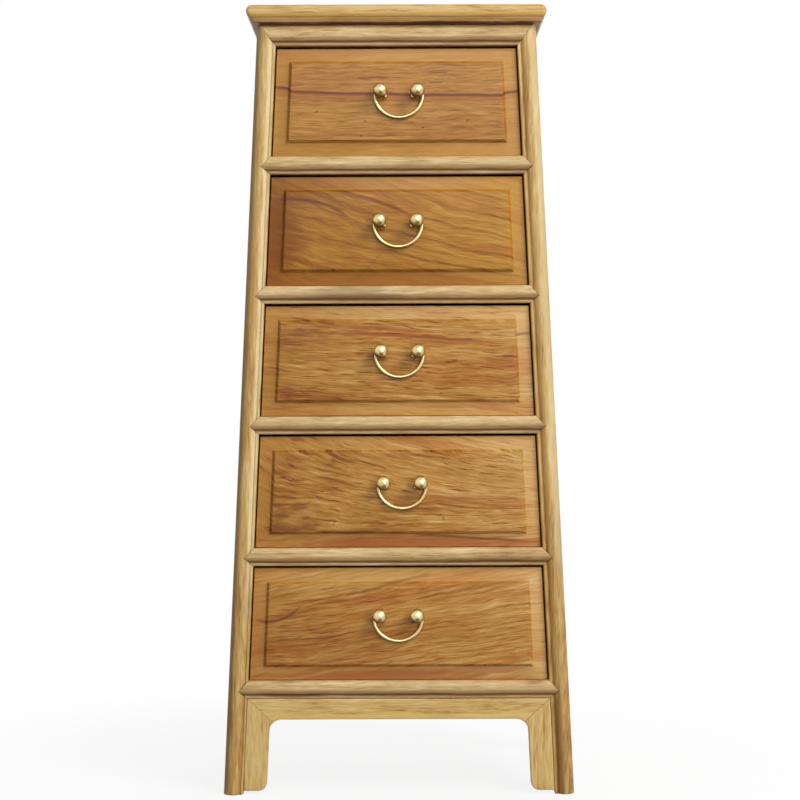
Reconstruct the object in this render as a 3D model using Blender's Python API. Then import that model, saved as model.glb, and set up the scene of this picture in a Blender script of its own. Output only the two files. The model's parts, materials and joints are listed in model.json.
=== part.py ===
"""A tapered chest of five drawers with splayed round posts.

Metres, +Z up, front towards -Y, feet on z = 0. Every carcass and drawer piece is first built upright,
as if the posts were plumb, and is then leaned to the splay of the sides, the front and the back.
"""

import math
from collections import namedtuple

import bmesh
import bpy
from mathutils import Matrix, Vector

# Overall sizes
HEIGHT = 1.200
BASE_WIDTH = 0.533
BASE_DEPTH = 0.400
SIDE_RUN = 0.0546
FRONT_RUN = 0.0312
JOINT_GAP = 0.0003

# Top board: rounded edge, sloping strip below it, recessed neck
TOP_EDGE = 0.020
TOP_STRIP = 0.0065
TOP_NECK = 0.0022
TOP_OVERHANG = 0.0153
TOP_CORNER = 0.006
STRIP_SETBACK = 0.005
STRIP_SLOPE = 0.003
NECK_SETBACK = 0.019
EDGE_ROUND = 0.008

# Posts
POST = 0.030
POST_ROUND = 0.015
STUB = 0.012
STUB_HEIGHT = 0.004
STUB_INSET = 0.013

# Moulding that posts and rails share: bead, groove and shoulder up to the crest
BEAD = 0.0046
BEAD_RISE = 0.0020
GROOVE = 0.0014
GROOVE_DEPTH = 0.0062
SHOULDER_DROP = 0.0056
SHOULDER_TURN = 60

# Rails
RAIL = 0.0270
TOP_RAIL = 0.0315
RAIL_CREST = 0.0165
RAIL_UPPER_DROP = 0.0058
RAIL_DEPTH = 0.030
LAP_DEPTH = 0.0095
LAP_WALL = 0.0008
TIP_REACH = 0.0137
TIP_LIFT = 0.011
MITRE_REACH = 0.0255
TENON_SETBACK = 0.0112
TENON_THICKNESS = 0.0092
TENON_REACH = 0.008
TENON_SHOULDER = 0.0065
BACK_RAIL_SETBACK = 0.003
FRAME_RAIL_DEPTH = 0.024
BOTTOM_RAIL_TOP = 0.172

# Apron and brackets
APRON = 0.031
BRACKET = 0.035
APRON_BACK = 0.016
APRON_EDGE_DROP = 0.0056
APRON_CREST_DROP = 0.0038
APRON_ROLL = 0.006
APRON_FILLET = 0.018
BRACKET_ROUND = 0.012
BRACKET_CLEARANCE = 0.006

# Panels and shelves
PANEL_SETBACK = 0.011
PANEL_THICKNESS = 0.008
PANEL_REACH = 0.005
SHELF_THICKNESS = 0.010
SHELF_HOUSING = 0.004
TONGUE = 0.005
TONGUE_SHOULDER = 0.0025
TONGUE_END = 0.010

# Drawers
DRAWERS = 5
DRAWER_GROWTH = 0.0012
SIDE_GAP = 0.002
TOP_GAP = 0.0036
RUN_GAP = 0.0004
FIELD_SETBACK = 0.0025
FIELD_STEP = 0.0036
FIELD_SLOPE = 0.0042
EDGE_SETBACK = 0.0100
BEVEL_WIDTH = 0.0183
FRONT_THICKNESS = 0.022
BOARD = 0.010
BOX_DROP = 0.012
BACK_DROP = 0.008
BACK_INSET = 0.004
BACK_CLEARANCE = 0.006
BOTTOM_THICKNESS = 0.006
BOTTOM_LIFT = 0.005
BOTTOM_REACH = 0.004
BOTTOM_INSET = 0.002
TAILS = 3
TAIL_REACH = 0.010
TAIL_NECK = 0.018
TAIL_FLARE = 0.003

# Pulls: ball posts and a bail that swings in their necks
BALL_RADIUS = 0.0112
BALL_SPACING = 0.0565
NECK_LENGTH = 0.0073
PIN_STANDOFF = 0.00505
PULL_RISE = 0.0148
PULL_SHIFTS = (0.0035, 0.0015, 0.003, 0.0065, 0.0)
NECK_RADIUS = 0.0046
COLLAR_RADIUS = 0.0064
COLLAR_THICKNESS = 0.0014
SHANK_RADIUS = 0.0024
RIVET_RADIUS = 0.005
RIVET_THICKNESS = 0.0016
RIVET_FACE = 0.0035
WIRE_RADIUS = 0.0025
PIN_RADIUS = 0.0021
PIN_CLEARANCE = 0.0004
LEG_CLEARANCE = 0.0010
WIRE_BEND = 0.0031
BAIL_LEG = 0.006
BAIL_DROP = 0.0395
TAIL_DROP = 0.0105

# Facets on the round stretches, and the angles in degrees up to which they shade smooth
ARC_STEPS = 4
CORNER_STEPS = 5
FILLET_STEPS = 5
ROLL_STEPS = 3
ROUND_STEPS = 3
BEND_STEPS = 2
BALL_SIDES = 12
BALL_STEPS = 6
BORE_SIDES = 10
BOW_STEPS = 12
WOOD_SMOOTHING = 25
BRASS_SMOOTHING = 35

# How far cutters run past the faces that they cut, and the lap of a rail into its core
PAST = 0.004
FAR = 0.020
LAP_OVERLAP = 0.002

# Worked out from the sizes above
HALF_WIDTH = BASE_WIDTH / 2
HALF_DEPTH = BASE_DEPTH / 2
SIDE_SPLAY = SIDE_RUN / HEIGHT
FRONT_SPLAY = FRONT_RUN / HEIGHT
TOP_RAIL_TOP = HEIGHT - TOP_EDGE - TOP_STRIP - TOP_NECK - JOINT_GAP
TENON_BACK = TENON_SETBACK + TENON_THICKNESS
PANEL_BACK = PANEL_SETBACK + PANEL_THICKNESS
FRONT_BACK = FIELD_SETBACK + FRONT_THICKNESS
OPENINGS = TOP_RAIL_TOP - TOP_RAIL - (DRAWERS - 1) * RAIL - BOTTOM_RAIL_TOP
FIRST_OPENING = OPENINGS / DRAWERS - DRAWER_GROWTH * (DRAWERS - 1) / 2
BALL_STANDOFF = NECK_LENGTH + BALL_RADIUS
PIN_BEHIND_BALL = BALL_STANDOFF - PIN_STANDOFF
LEG_OFFSET = NECK_RADIUS + LEG_CLEARANCE + WIRE_RADIUS

Rail = namedtuple("Rail", "name face low height joint")
Face = namedtuple("Face", "angle half_length half_out")

FACES = {
    "front": Face(0.0, HALF_WIDTH, HALF_DEPTH),
    "right": Face(math.pi / 2, HALF_DEPTH, HALF_WIDTH),
    "back": Face(math.pi, HALF_WIDTH, HALF_DEPTH),
    "left": Face(-math.pi / 2, HALF_DEPTH, HALF_WIDTH),
}

# The post at the low and the high end of each face
POSTS_OF_FACE = {
    "front": ("post_front_left", "post_front_right"),
    "right": ("post_front_right", "post_back_right"),
    "back": ("post_back_right", "post_back_left"),
    "left": ("post_back_left", "post_front_left"),
}


def rail_top(index):
    """Height of a front rail's upper edge; rail 0 is the top one and rail DRAWERS the bottom one."""
    if index == 0:
        return TOP_RAIL_TOP
    openings = index * FIRST_OPENING + DRAWER_GROWTH * index * (index - 1) / 2
    return TOP_RAIL_TOP - TOP_RAIL - openings - (index - 1) * RAIL


def rail_low(index):
    return rail_top(index) - (RAIL if index else TOP_RAIL)


def drawer_low(index):
    return rail_top(index + 1) + RUN_GAP


def drawer_high(index):
    return rail_low(index) - TOP_GAP


def pull_height(index):
    return (drawer_low(index) + drawer_high(index)) / 2 + PULL_RISE


def front_plane(height):
    """Where the crests of the front stand at a height, before the whole chest is centred."""
    return FRONT_SPLAY * height - HALF_DEPTH


def ball_depth(height):
    return front_plane(height) + FIELD_SETBACK - BALL_STANDOFF


# The pulls stand proud of the feet, so the chest is moved back to centre its footprint on the origin
PULL_FRONT = ball_depth(pull_height(DRAWERS - 1)) - BALL_RADIUS
BODY_SHIFT = (max(-PULL_FRONT, HALF_DEPTH) - HALF_DEPTH) / 2


# Mesh building blocks


def new_object(name, bm):
    bmesh.ops.recalc_face_normals(bm, faces=bm.faces)
    mesh = bpy.data.meshes.new(name)
    bm.to_mesh(mesh)
    bm.free()
    made = bpy.data.objects.new(name, mesh)
    bpy.context.collection.objects.link(made)
    return made


def loft(name, rings):
    """A closed solid through rings of points; a ring of one point closes an end as a pole."""
    bm = bmesh.new()
    loops = [[bm.verts.new(point) for point in ring] for ring in rings]
    for near, far in zip(loops, loops[1:]):
        count = max(len(near), len(far))
        for i in range(count):
            corners = [near[i % len(near)], near[(i + 1) % len(near)]]
            corners += [far[(i + 1) % len(far)], far[i % len(far)]]
            bm.faces.new(dict.fromkeys(corners))
    for end in (loops[0], loops[-1]):
        if len(end) > 2:
            bm.faces.new(end)
    return new_object(name, bm)


def prism(outline, plane, low, high, name="cutter"):
    """An outline in the plane of two axes, run from low to high along the third axis."""
    first, second = ("xyz".index(letter) for letter in plane)
    third = 3 - first - second
    rings = []
    for along in (low, high):
        ring = []
        for a, b in outline:
            point = [0.0, 0.0, 0.0]
            point[first], point[second], point[third] = a, b, along
            ring.append(point)
        rings.append(ring)
    return loft(name, rings)


def block(low, high, name="cutter", grow=0.0):
    x0, y0, z0 = (value - grow for value in low)
    x1, y1, z1 = (value + grow for value in high)
    return prism([(x0, y0), (x1, y0), (x1, y1), (x0, y1)], "xy", z0, z1, name)


def arc(centre, radii, start, end, steps):
    """Points on a stretch of an ellipse, from one angle to another, in degrees."""
    points = []
    for i in range(steps + 1):
        angle = math.radians(start + (end - start) * i / steps)
        points.append((centre[0] + radii[0] * math.cos(angle), centre[1] + radii[1] * math.sin(angle)))
    return points


def turned(name, profile, sides):
    """A solid of revolution about the Y axis, from (radius, y) points; a radius of 0 is a pole."""
    rings = []
    for radius, y in profile:
        if radius == 0:
            rings.append([(0.0, y, 0.0)])
            continue
        turns = [2 * math.pi * i / sides for i in range(sides)]
        rings.append([(radius * math.cos(t), y, radius * math.sin(t)) for t in turns])
    return loft(name, rings)


def combine(target, tool, operation):
    modifier = target.modifiers.new(operation, "BOOLEAN")
    modifier.operation = operation
    modifier.object = tool
    evaluated = target.evaluated_get(bpy.context.evaluated_depsgraph_get())
    old = target.data
    target.data = bpy.data.meshes.new_from_object(evaluated)
    target.modifiers.clear()
    bpy.data.meshes.remove(old)
    bpy.data.objects.remove(tool)


def cut(target, tool):
    combine(target, tool, "DIFFERENCE")


def join(target, tool):
    combine(target, tool, "UNION")


def keep_common(target, tool):
    combine(target, tool, "INTERSECT")


def to_face(piece, face):
    """Turns a piece from (along, behind the crest plane, up) onto a side of the upright chest."""
    side = FACES[face]
    piece.data.transform(Matrix.Rotation(side.angle, 4, "Z") @ Matrix.Translation((0, -side.half_out, 0)))
    return piece


def lean(piece):
    """Leans an upright piece to the splay and moves it back to its place over the origin."""
    for vertex in piece.data.vertices:
        x, y, z = vertex.co
        vertex.co.x = x - math.copysign(SIDE_SPLAY * z, x)
        vertex.co.y = y - math.copysign(FRONT_SPLAY * z, y) + BODY_SHIFT
    return piece


def finish(piece, material, smooth_angle=WOOD_SMOOTHING):
    piece.data.materials.clear()
    piece.data.materials.append(material)
    piece.data.shade_smooth()
    piece.data.set_sharp_from_angle(angle=math.radians(smooth_angle))


def hang_on(piece, carrier, origin):
    """Puts a piece's origin at a world point and parents the piece to an empty."""
    piece.data.transform(Matrix.Translation(-origin))
    piece.parent = carrier
    piece.location = origin - carrier.location


def new_material(name, colour, roughness, metallic=0.0):
    made = bpy.data.materials.new(name)
    made.use_nodes = True
    shader = made.node_tree.nodes["Principled BSDF"]
    shader.inputs["Base Color"].default_value = (*colour, 1.0)
    shader.inputs["Roughness"].default_value = roughness
    shader.inputs["Metallic"].default_value = metallic
    return made


# Posts and rails


def moulded_edge(crest):
    """(Distance from the inner edge, depth) from the crest over the shoulder and groove to the bead."""
    reach = crest - BEAD - GROOVE
    turn = math.radians(SHOULDER_TURN)
    radii = (reach / math.sin(turn), SHOULDER_DROP / (1 - math.cos(turn)))
    points = arc((crest, radii[1]), radii, 270, 270 - SHOULDER_TURN, ARC_STEPS)
    points.append((BEAD + GROOVE / 2, GROOVE_DEPTH))
    points += arc((BEAD / 2, GROOVE_DEPTH), (BEAD / 2, -BEAD_RISE), 0, 180, ARC_STEPS)
    return points


def post_section(bead_on_end):
    """Points (in from the side, in from the end); the end face is plain on the back posts."""
    crest = POST - POST_ROUND
    edge = moulded_edge(crest)
    points = [(POST, POST)]
    points += [(depth, POST - across) for across, depth in reversed(edge)]
    points += arc((POST_ROUND, POST_ROUND), (POST_ROUND, POST_ROUND), 180, 270, CORNER_STEPS)[1:-1]
    if bead_on_end:
        points += [(POST - across, depth) for across, depth in edge]
    else:
        points += [(POST_ROUND, 0.0), (POST, 0.0)]
    return points


def build_post(name):
    _, end, side = name.split("_")
    sign_x = 1 if side == "right" else -1
    sign_y = 1 if end == "back" else -1

    def upright(points):
        return [(sign_x * (HALF_WIDTH - a), sign_y * (HALF_DEPTH - b)) for a, b in points]

    post = prism(upright(post_section(end == "front")), "xy", 0.0, TOP_RAIL_TOP, name)
    near, far = STUB_INSET, STUB_INSET + STUB
    square = upright([(near, near), (far, near), (far, far), (near, far)])
    join(post, prism(square, "xy", TOP_RAIL_TOP - PAST, TOP_RAIL_TOP + JOINT_GAP + STUB_HEIGHT))
    return post


def rail_specs():
    front = [Rail("front_rail_top", "front", rail_low(0), TOP_RAIL, "mitred")]
    for index in range(1, DRAWERS):
        front.append(Rail(f"front_rail_{index}", "front", rail_low(index), RAIL, "pointed"))
    front.append(Rail("front_rail_bottom", "front", rail_low(DRAWERS), RAIL, "pointed"))
    others = []
    for side in ("left", "right"):
        others.append(Rail(f"side_rail_top_{side}", side, rail_low(0), TOP_RAIL, "mitred"))
        others.append(Rail(f"side_rail_bottom_{side}", side, rail_low(DRAWERS), RAIL, "pointed"))
    others.append(Rail("back_rail_top", "back", rail_low(0), TOP_RAIL, "plain"))
    others.append(Rail("back_rail_bottom", "back", rail_low(DRAWERS), RAIL, "plain"))
    return front, others


def rail_profile(rail):
    """(Depth behind the crest plane, height) round a rail's section."""
    low, high = rail.low, rail.low + rail.height
    if rail.joint == "plain":
        near, far = BACK_RAIL_SETBACK, FRAME_RAIL_DEPTH
        return [(near, low), (near, high), (far, high), (far, low)]
    crest = POST - POST_ROUND if rail.joint == "mitred" else RAIL_CREST
    points = [(depth, low + across) for across, depth in reversed(moulded_edge(crest))]
    roll = (RAIL_UPPER_DROP, rail.height - crest)
    points += arc((RAIL_UPPER_DROP, low + crest), roll, 180, 90, ARC_STEPS)[1:]
    back = RAIL_DEPTH if rail.face == "front" else FRAME_RAIL_DEPTH
    return points + [(back, high), (back, low)]


def lap_end(rail, inner, grow):
    """(Along, height) of the lap on a post, upwards, run on past the rail's edges."""
    low, high = rail.low, rail.low + rail.height
    if rail.joint == "pointed":
        lower_run = TIP_REACH / TIP_LIFT
        upper_run = TIP_REACH / (rail.height - TIP_LIFT)
        edge = inner + grow * math.hypot(1, max(lower_run, upper_run))
        corners = [(edge - FAR * lower_run, low - FAR)]
        corners.append((edge + TIP_REACH, low + TIP_LIFT))
        corners.append((edge - FAR * upper_run, high + FAR))
        return corners
    reach = MITRE_REACH if rail.face == "front" else POST - LAP_DEPTH - LAP_WALL
    run = reach / rail.height
    edge = inner + grow * math.hypot(1, run)
    return [(edge - FAR * run, low - FAR), (edge + reach + FAR * run, high + FAR)]


def tenon(rail, end, inner, grow):
    low, high = rail.low + TENON_SHOULDER, rail.low + rail.height - TENON_SHOULDER
    near, far = sorted((end * (inner - FAR), end * (inner + TENON_REACH + grow)))
    return block(
        (near, TENON_SETBACK - grow, low - grow),
        (far, TENON_BACK + grow, high + grow),
    )


def build_rail(rail):
    """A moulded bar trimmed to its shoulders, with laps over the posts in front and tenons behind."""
    inner = FACES[rail.face].half_length - POST
    low, high = rail.low - FAR, rail.low + rail.height + FAR
    span = inner - JOINT_GAP
    core_front = -PAST if rail.joint == "plain" else LAP_DEPTH - LAP_OVERLAP
    envelope = block((-span, core_front, low), (span, RAIL_DEPTH + PAST, high))
    if rail.joint != "plain":
        right = lap_end(rail, inner, 0.0)
        left = [(-along, height) for along, height in reversed(right)]
        join(envelope, prism(right + left, "xz", -PAST, LAP_DEPTH))
    for end in (-1, 1):
        join(envelope, tenon(rail, end, inner, 0.0))
    bar = prism(rail_profile(rail), "yz", -inner - POST, inner + POST, rail.name)
    keep_common(bar, envelope)
    return to_face(bar, rail.face)


def cut_rail_seats(rail, posts):
    """Notches and mortises for one rail in the two posts that carry it."""
    inner = FACES[rail.face].half_length - POST
    for end, name in zip((-1, 1), POSTS_OF_FACE[rail.face]):
        cut(posts[name], to_face(tenon(rail, end, inner, JOINT_GAP), rail.face))
        if rail.joint == "plain":
            continue
        notch = lap_end(rail, inner, JOINT_GAP)
        if rail.joint == "mitred":
            notch += [(inner - FAR, notch[-1][1]), (inner - FAR, notch[0][1])]
        notch = [(end * along, height) for along, height in notch]
        cut(posts[name], to_face(prism(notch, "xz", -FAR, LAP_DEPTH + JOINT_GAP), rail.face))


# Panels and shelves


def panel_block(face, name="cutter", grow=0.0):
    across = FACES[face].half_length - POST + PANEL_REACH
    low = rail_top(DRAWERS) - PANEL_REACH
    high = rail_low(0) + PANEL_REACH
    made = block((-across, PANEL_SETBACK, low), (across, PANEL_BACK, high), name, grow)
    return to_face(made, face)


def shelf_board(index, name="cutter", grow=0.0):
    across = HALF_WIDTH - POST + SHELF_HOUSING
    top = rail_top(index)
    front = RAIL_DEPTH + JOINT_GAP - HALF_DEPTH
    back = HALF_DEPTH - FRAME_RAIL_DEPTH - JOINT_GAP
    return block((-across, front, top - SHELF_THICKNESS), (across, back, top), name, grow)


def shelf_tongue(index, grow=0.0):
    across = HALF_WIDTH - POST - TONGUE_END
    top = rail_top(index)
    front = RAIL_DEPTH - TONGUE - HALF_DEPTH
    low = top - SHELF_THICKNESS + TONGUE_SHOULDER
    return block((-across, front, low), (across, front + TONGUE + PAST, top - TONGUE_SHOULDER), grow=grow)


def build_shelf(index):
    shelf = shelf_board(index, f"drawer_shelf_{index}")
    join(shelf, shelf_tongue(index))
    return shelf


# Apron and brackets


def apron_outline(half_length, inset):
    """The right half of the apron with its bracket, from the middle of the top edge round to the inside."""
    outer = half_length - POST - JOINT_GAP - inset
    top = rail_low(DRAWERS) - JOINT_GAP
    inner = half_length - POST - JOINT_GAP - BRACKET + inset
    under = top - APRON + inset
    foot = BRACKET_CLEARANCE + inset
    toe = BRACKET_ROUND - inset
    hollow = APRON_FILLET + inset
    points = [(outer, top - inset), (outer, foot)]
    points += arc((inner + toe, foot + toe), (toe, toe), 270, 180, FILLET_STEPS)
    points += arc((inner - hollow, under - hollow), (hollow, hollow), 0, 90, FILLET_STEPS)
    return points


def build_apron(name, face):
    """Apron and both brackets in one, with a face that swells from its edges to a flat crest."""
    half_length = FACES[face].half_length
    swell = APRON_EDGE_DROP - APRON_CREST_DROP
    roll = arc((APRON_ROLL, APRON_EDGE_DROP), (APRON_ROLL, swell), 180, 270, ROLL_STEPS)
    sections = [(0.0, APRON_BACK)] + roll
    rings = []
    for inset, depth in sections:
        right = apron_outline(half_length, inset)
        ring = right + [(-along, height) for along, height in reversed(right)]
        rings.append([(along, depth, height) for along, height in ring])
    return to_face(loft(name, rings), face)


def mitre_wedge(end, grow):
    """The space outside the mitre between the front apron and one bracket."""
    outer = HALF_WIDTH - POST - JOINT_GAP
    top = rail_low(DRAWERS) - JOINT_GAP
    run = Vector((-BRACKET, -APRON)).normalized()
    corner = Vector((outer, top)) - run * FAR + Vector((-1.0, 1.0)).normalized() * grow
    far = corner + run * (FAR * 3 + math.hypot(BRACKET, APRON))
    points = [corner, far, (far.x, -FAR), (outer + FAR, -FAR), (outer + FAR, corner.y)]
    outline = [(end * along, height) for along, height in points]
    return to_face(prism(outline, "xz", -FAR, APRON_BACK + FAR), "front")


def build_front_apron():
    apron = build_apron("apron_front", "front")
    made = [apron]
    for end, side in ((-1, "left"), (1, "right")):
        bracket = build_apron(f"apron_bracket_front_{side}", "front")
        keep_common(bracket, mitre_wedge(end, 0.0))
        cut(apron, mitre_wedge(end, JOINT_GAP))
        made.append(bracket)
    return made


# Top board


def rounded_rectangle(half_x, half_y, radius):
    points = []
    for turn, (x, y) in enumerate(((1, 1), (-1, 1), (-1, -1), (1, -1))):
        centre = (x * (half_x - radius), y * (half_y - radius))
        points += arc(centre, (radius, radius), 90 * turn, 90 * turn + 90, ROUND_STEPS)
    return points


def build_top():
    low = TOP_RAIL_TOP + JOINT_GAP
    strip_low = low + TOP_NECK
    edge_low = strip_low + TOP_STRIP
    half_edge = TOP_EDGE / 2
    profile = [(NECK_SETBACK, low), (NECK_SETBACK, strip_low), (STRIP_SETBACK + STRIP_SLOPE, strip_low)]
    profile.append((STRIP_SETBACK, edge_low))
    profile += arc((EDGE_ROUND, edge_low + half_edge), (EDGE_ROUND, half_edge), 270, 90, 2 * ARC_STEPS)
    half_x = HALF_WIDTH - SIDE_SPLAY * TOP_RAIL_TOP + TOP_OVERHANG
    half_y = HALF_DEPTH - FRONT_SPLAY * TOP_RAIL_TOP + TOP_OVERHANG
    rings = []
    for setback, height in profile:
        outline = rounded_rectangle(half_x - setback, half_y - setback, TOP_CORNER)
        rings.append([(x, y + BODY_SHIFT, height) for x, y in outline])
    return loft("top_board", rings)


def cut_top_mortises(top):
    near, far = STUB_INSET, STUB_INSET + STUB
    for sign_x in (-1, 1):
        for sign_y in (-1, 1):
            xs = sorted(sign_x * (HALF_WIDTH - a) for a in (near, far))
            ys = sorted(sign_y * (HALF_DEPTH - b) for b in (near, far))
            high = TOP_RAIL_TOP + JOINT_GAP + STUB_HEIGHT
            cut(top, lean(block((xs[0], ys[0], TOP_RAIL_TOP), (xs[1], ys[1], high), grow=JOINT_GAP)))


# Drawers


def drawer_half():
    return HALF_WIDTH - POST - SIDE_GAP


def tail_outline(low, high, index, grow):
    """(Depth, height) of one dovetail of a drawer side, wider at its end inside the front."""
    pitch = (high - low) / TAILS
    middle = low + pitch * (index + 0.5)
    neck = TAIL_NECK / 2 + grow
    wide = neck + TAIL_FLARE
    end = FRONT_BACK - TAIL_REACH - grow
    lower = [(FRONT_BACK, middle - neck), (end, middle - wide)]
    return lower + [(end, middle + wide), (FRONT_BACK, middle + neck)]


def build_drawer_front(index):
    """A board with a wide bevel all round and a raised field with sloping edges."""
    low, high = drawer_low(index), drawer_high(index)
    half = drawer_half()
    rings = []
    steps = (
        (0.0, FRONT_BACK),
        (0.0, EDGE_SETBACK),
        (BEVEL_WIDTH, FIELD_SETBACK + FIELD_STEP),
        (BEVEL_WIDTH + FIELD_SLOPE, FIELD_SETBACK),
    )
    for inset, depth in steps:
        x, z0, z1 = half - inset, low + inset, high - inset
        y = depth - HALF_DEPTH
        rings.append([(-x, y, z0), (x, y, z0), (x, y, z1), (-x, y, z1)])
    front = loft(f"drawer_{index + 1}_front", rings)
    for end in (-1, 1):
        xs = sorted((end * (half - BOARD - JOINT_GAP), end * (half + PAST)))
        for tail in range(TAILS):
            shape = tail_outline(low, high - BOX_DROP, tail, JOINT_GAP)
            slope = TAIL_FLARE / TAIL_REACH * PAST
            first, last = shape[0], shape[-1]
            shape[0] = (first[0] + PAST, first[1] + slope)
            shape[-1] = (last[0] + PAST, last[1] - slope)
            outline = [(depth - HALF_DEPTH, height) for depth, height in shape]
            cut(front, prism(outline, "yz", *xs))
    cut(front, bottom_block(index, grow=JOINT_GAP))
    return front


def box_back():
    """Where the rear ends of the drawer sides stand on the upright chest."""
    return HALF_DEPTH - PANEL_BACK - BACK_CLEARANCE


def bottom_block(index, name="cutter", grow=0.0):
    across = drawer_half() - BOARD + BOTTOM_REACH
    low = drawer_low(index) + BOTTOM_LIFT
    front = FRONT_BACK - HALF_DEPTH - BOTTOM_REACH
    back = box_back() - BOTTOM_INSET
    return block((-across, front, low), (across, back, low + BOTTOM_THICKNESS), name, grow)


def build_drawer_box(index):
    """Two sides dovetailed to the front, and a back that stands on the bottom board."""
    low, high = drawer_low(index), drawer_high(index) - BOX_DROP
    half = drawer_half()
    front = FRONT_BACK + JOINT_GAP
    outline = [(box_back() + HALF_DEPTH, low), (front, low)]
    for tail in range(TAILS):
        shape = tail_outline(low, high, tail, 0.0)
        shape[0] = (front, shape[0][1])
        shape[-1] = (front, shape[-1][1])
        outline += shape
    outline += [(front, high), (box_back() + HALF_DEPTH, high)]
    outline = [(depth - HALF_DEPTH, height) for depth, height in outline]
    box = prism(outline, "yz", -half, BOARD - half, f"drawer_{index + 1}_box")
    join_y = box_back() - BACK_INSET
    back_low = low + BOTTOM_LIFT + BOTTOM_THICKNESS + JOINT_GAP
    across = half - BOARD / 2
    join(box, block((-across, join_y - BOARD, back_low), (across, join_y, high - BACK_DROP)))
    join(box, prism(outline, "yz", half - BOARD, half))
    cut(box, bottom_block(index, grow=JOINT_GAP))
    return box


# Pulls


def build_pull_post(name):
    """A ball on a collared neck that is bored across for the bail's pin."""
    back = math.degrees(math.asin(NECK_RADIUS / BALL_RADIUS))
    profile = [(0.0, -BALL_RADIUS)]
    for i in range(1, BALL_STEPS + 1):
        angle = math.radians((180 - back) * i / BALL_STEPS)
        profile.append((BALL_RADIUS * math.sin(angle), -BALL_RADIUS * math.cos(angle)))
    seat = BALL_STANDOFF - JOINT_GAP - FRONT_SPLAY * COLLAR_RADIUS
    rivet = BALL_STANDOFF + FRONT_THICKNESS + JOINT_GAP + FRONT_SPLAY * RIVET_RADIUS
    profile += [(NECK_RADIUS, seat - COLLAR_THICKNESS), (COLLAR_RADIUS, seat - COLLAR_THICKNESS)]
    profile += [(COLLAR_RADIUS, seat), (SHANK_RADIUS, seat), (SHANK_RADIUS, rivet), (RIVET_RADIUS, rivet)]
    profile += [(RIVET_FACE, rivet + RIVET_THICKNESS), (0.0, rivet + RIVET_THICKNESS)]
    post = turned(name, profile, BALL_SIDES)
    cut(post, pin_bore())
    return post


def pin_bore():
    radius = PIN_RADIUS + PIN_CLEARANCE
    circle = arc((PIN_BEHIND_BALL, 0.0), (radius, radius), 0, 360, BORE_SIDES)[:-1]
    return prism(circle, "yz", -NECK_RADIUS - PAST, NECK_RADIUS + PAST)


def shank_bore(x, z):
    radius = SHANK_RADIUS + JOINT_GAP
    circle = arc((x, z), (radius, radius), 0, 360, BORE_SIDES)[:-1]
    return prism(circle, "xz", front_plane(z) - FAR + BODY_SHIFT, front_plane(z) + BODY_SHIFT + 2 * FAR)


def bail_path():
    """(Across, up, radius) of the right half of the wire, from the middle of the bow to its tail."""
    neck = BALL_SPACING / 2
    half = neck + LEG_OFFSET
    points = []
    for across, up in arc((0.0, -BAIL_LEG), (half, BAIL_DROP - BAIL_LEG), 270, 360, BOW_STEPS // 2):
        points.append((across, up, WIRE_RADIUS))
    taper = (WIRE_RADIUS, (WIRE_RADIUS + PIN_RADIUS) / 2, PIN_RADIUS)
    outer = arc((half - WIRE_BEND, -WIRE_BEND), (WIRE_BEND, WIRE_BEND), 0, 90, BEND_STEPS)
    points += [(*point, radius) for point, radius in zip(outer, taper)]
    centre = neck - LEG_OFFSET + WIRE_BEND
    inner = arc((centre, -WIRE_BEND), (WIRE_BEND, WIRE_BEND), 90, 180, BEND_STEPS)
    points += [(*point, PIN_RADIUS) for point in inner]
    points.append((neck - LEG_OFFSET, -TAIL_DROP, PIN_RADIUS))
    return points


def build_bail(name):
    """The bail's wire about its hinge axis, as a bevelled curve with closed ends."""
    right = bail_path()
    left = [(-across, up, radius) for across, up, radius in right[:0:-1]]
    points = left + right
    curve = bpy.data.curves.new(name, "CURVE")
    curve.dimensions = "3D"
    curve.bevel_depth = WIRE_RADIUS
    curve.bevel_resolution = 2
    curve.use_fill_caps = True
    spline = curve.splines.new("POLY")
    spline.points.add(len(points) - 1)
    for point, (across, up, radius) in zip(spline.points, points):
        point.co = (across, 0.0, up, 1.0)
        point.radius = radius / WIRE_RADIUS
    made = bpy.data.objects.new(name, curve)
    bpy.context.collection.objects.link(made)
    return made


# The whole chest


def build_drawer(index, woods, brass):
    number = index + 1
    z = pull_height(index)
    carrier = bpy.data.objects.new(f"drawer_{number}_slide", None)
    carrier.location = (0.0, front_plane(drawer_low(index)) + BODY_SHIFT, drawer_low(index))
    bpy.context.collection.objects.link(carrier)
    front = lean(build_drawer_front(index))
    box = lean(build_drawer_box(index))
    bottom = lean(bottom_block(index, f"drawer_{number}_bottom"))
    ball = Vector((PULL_SHIFTS[index], ball_depth(z) + BODY_SHIFT, z))
    for side, end in (("left", -1), ("right", 1)):
        place = ball + Vector((end * BALL_SPACING / 2, 0.0, 0.0))
        cut(front, shank_bore(place.x, place.z))
        post = build_pull_post(f"drawer_{number}_pull_post_{side}")
        finish(post, brass, BRASS_SMOOTHING)
        post.parent = carrier
        post.location = place - carrier.location
    bail = build_bail(f"drawer_{number}_pull_bail")
    bail.data.materials.append(brass)
    bail.parent = carrier
    bail.location = ball + Vector((0.0, PIN_BEHIND_BALL, 0.0)) - carrier.location
    for piece, wood in ((front, woods["front"]), (box, woods["box"]), (bottom, woods["bottom"])):
        finish(piece, wood)
        hang_on(piece, carrier, carrier.location.copy())


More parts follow.
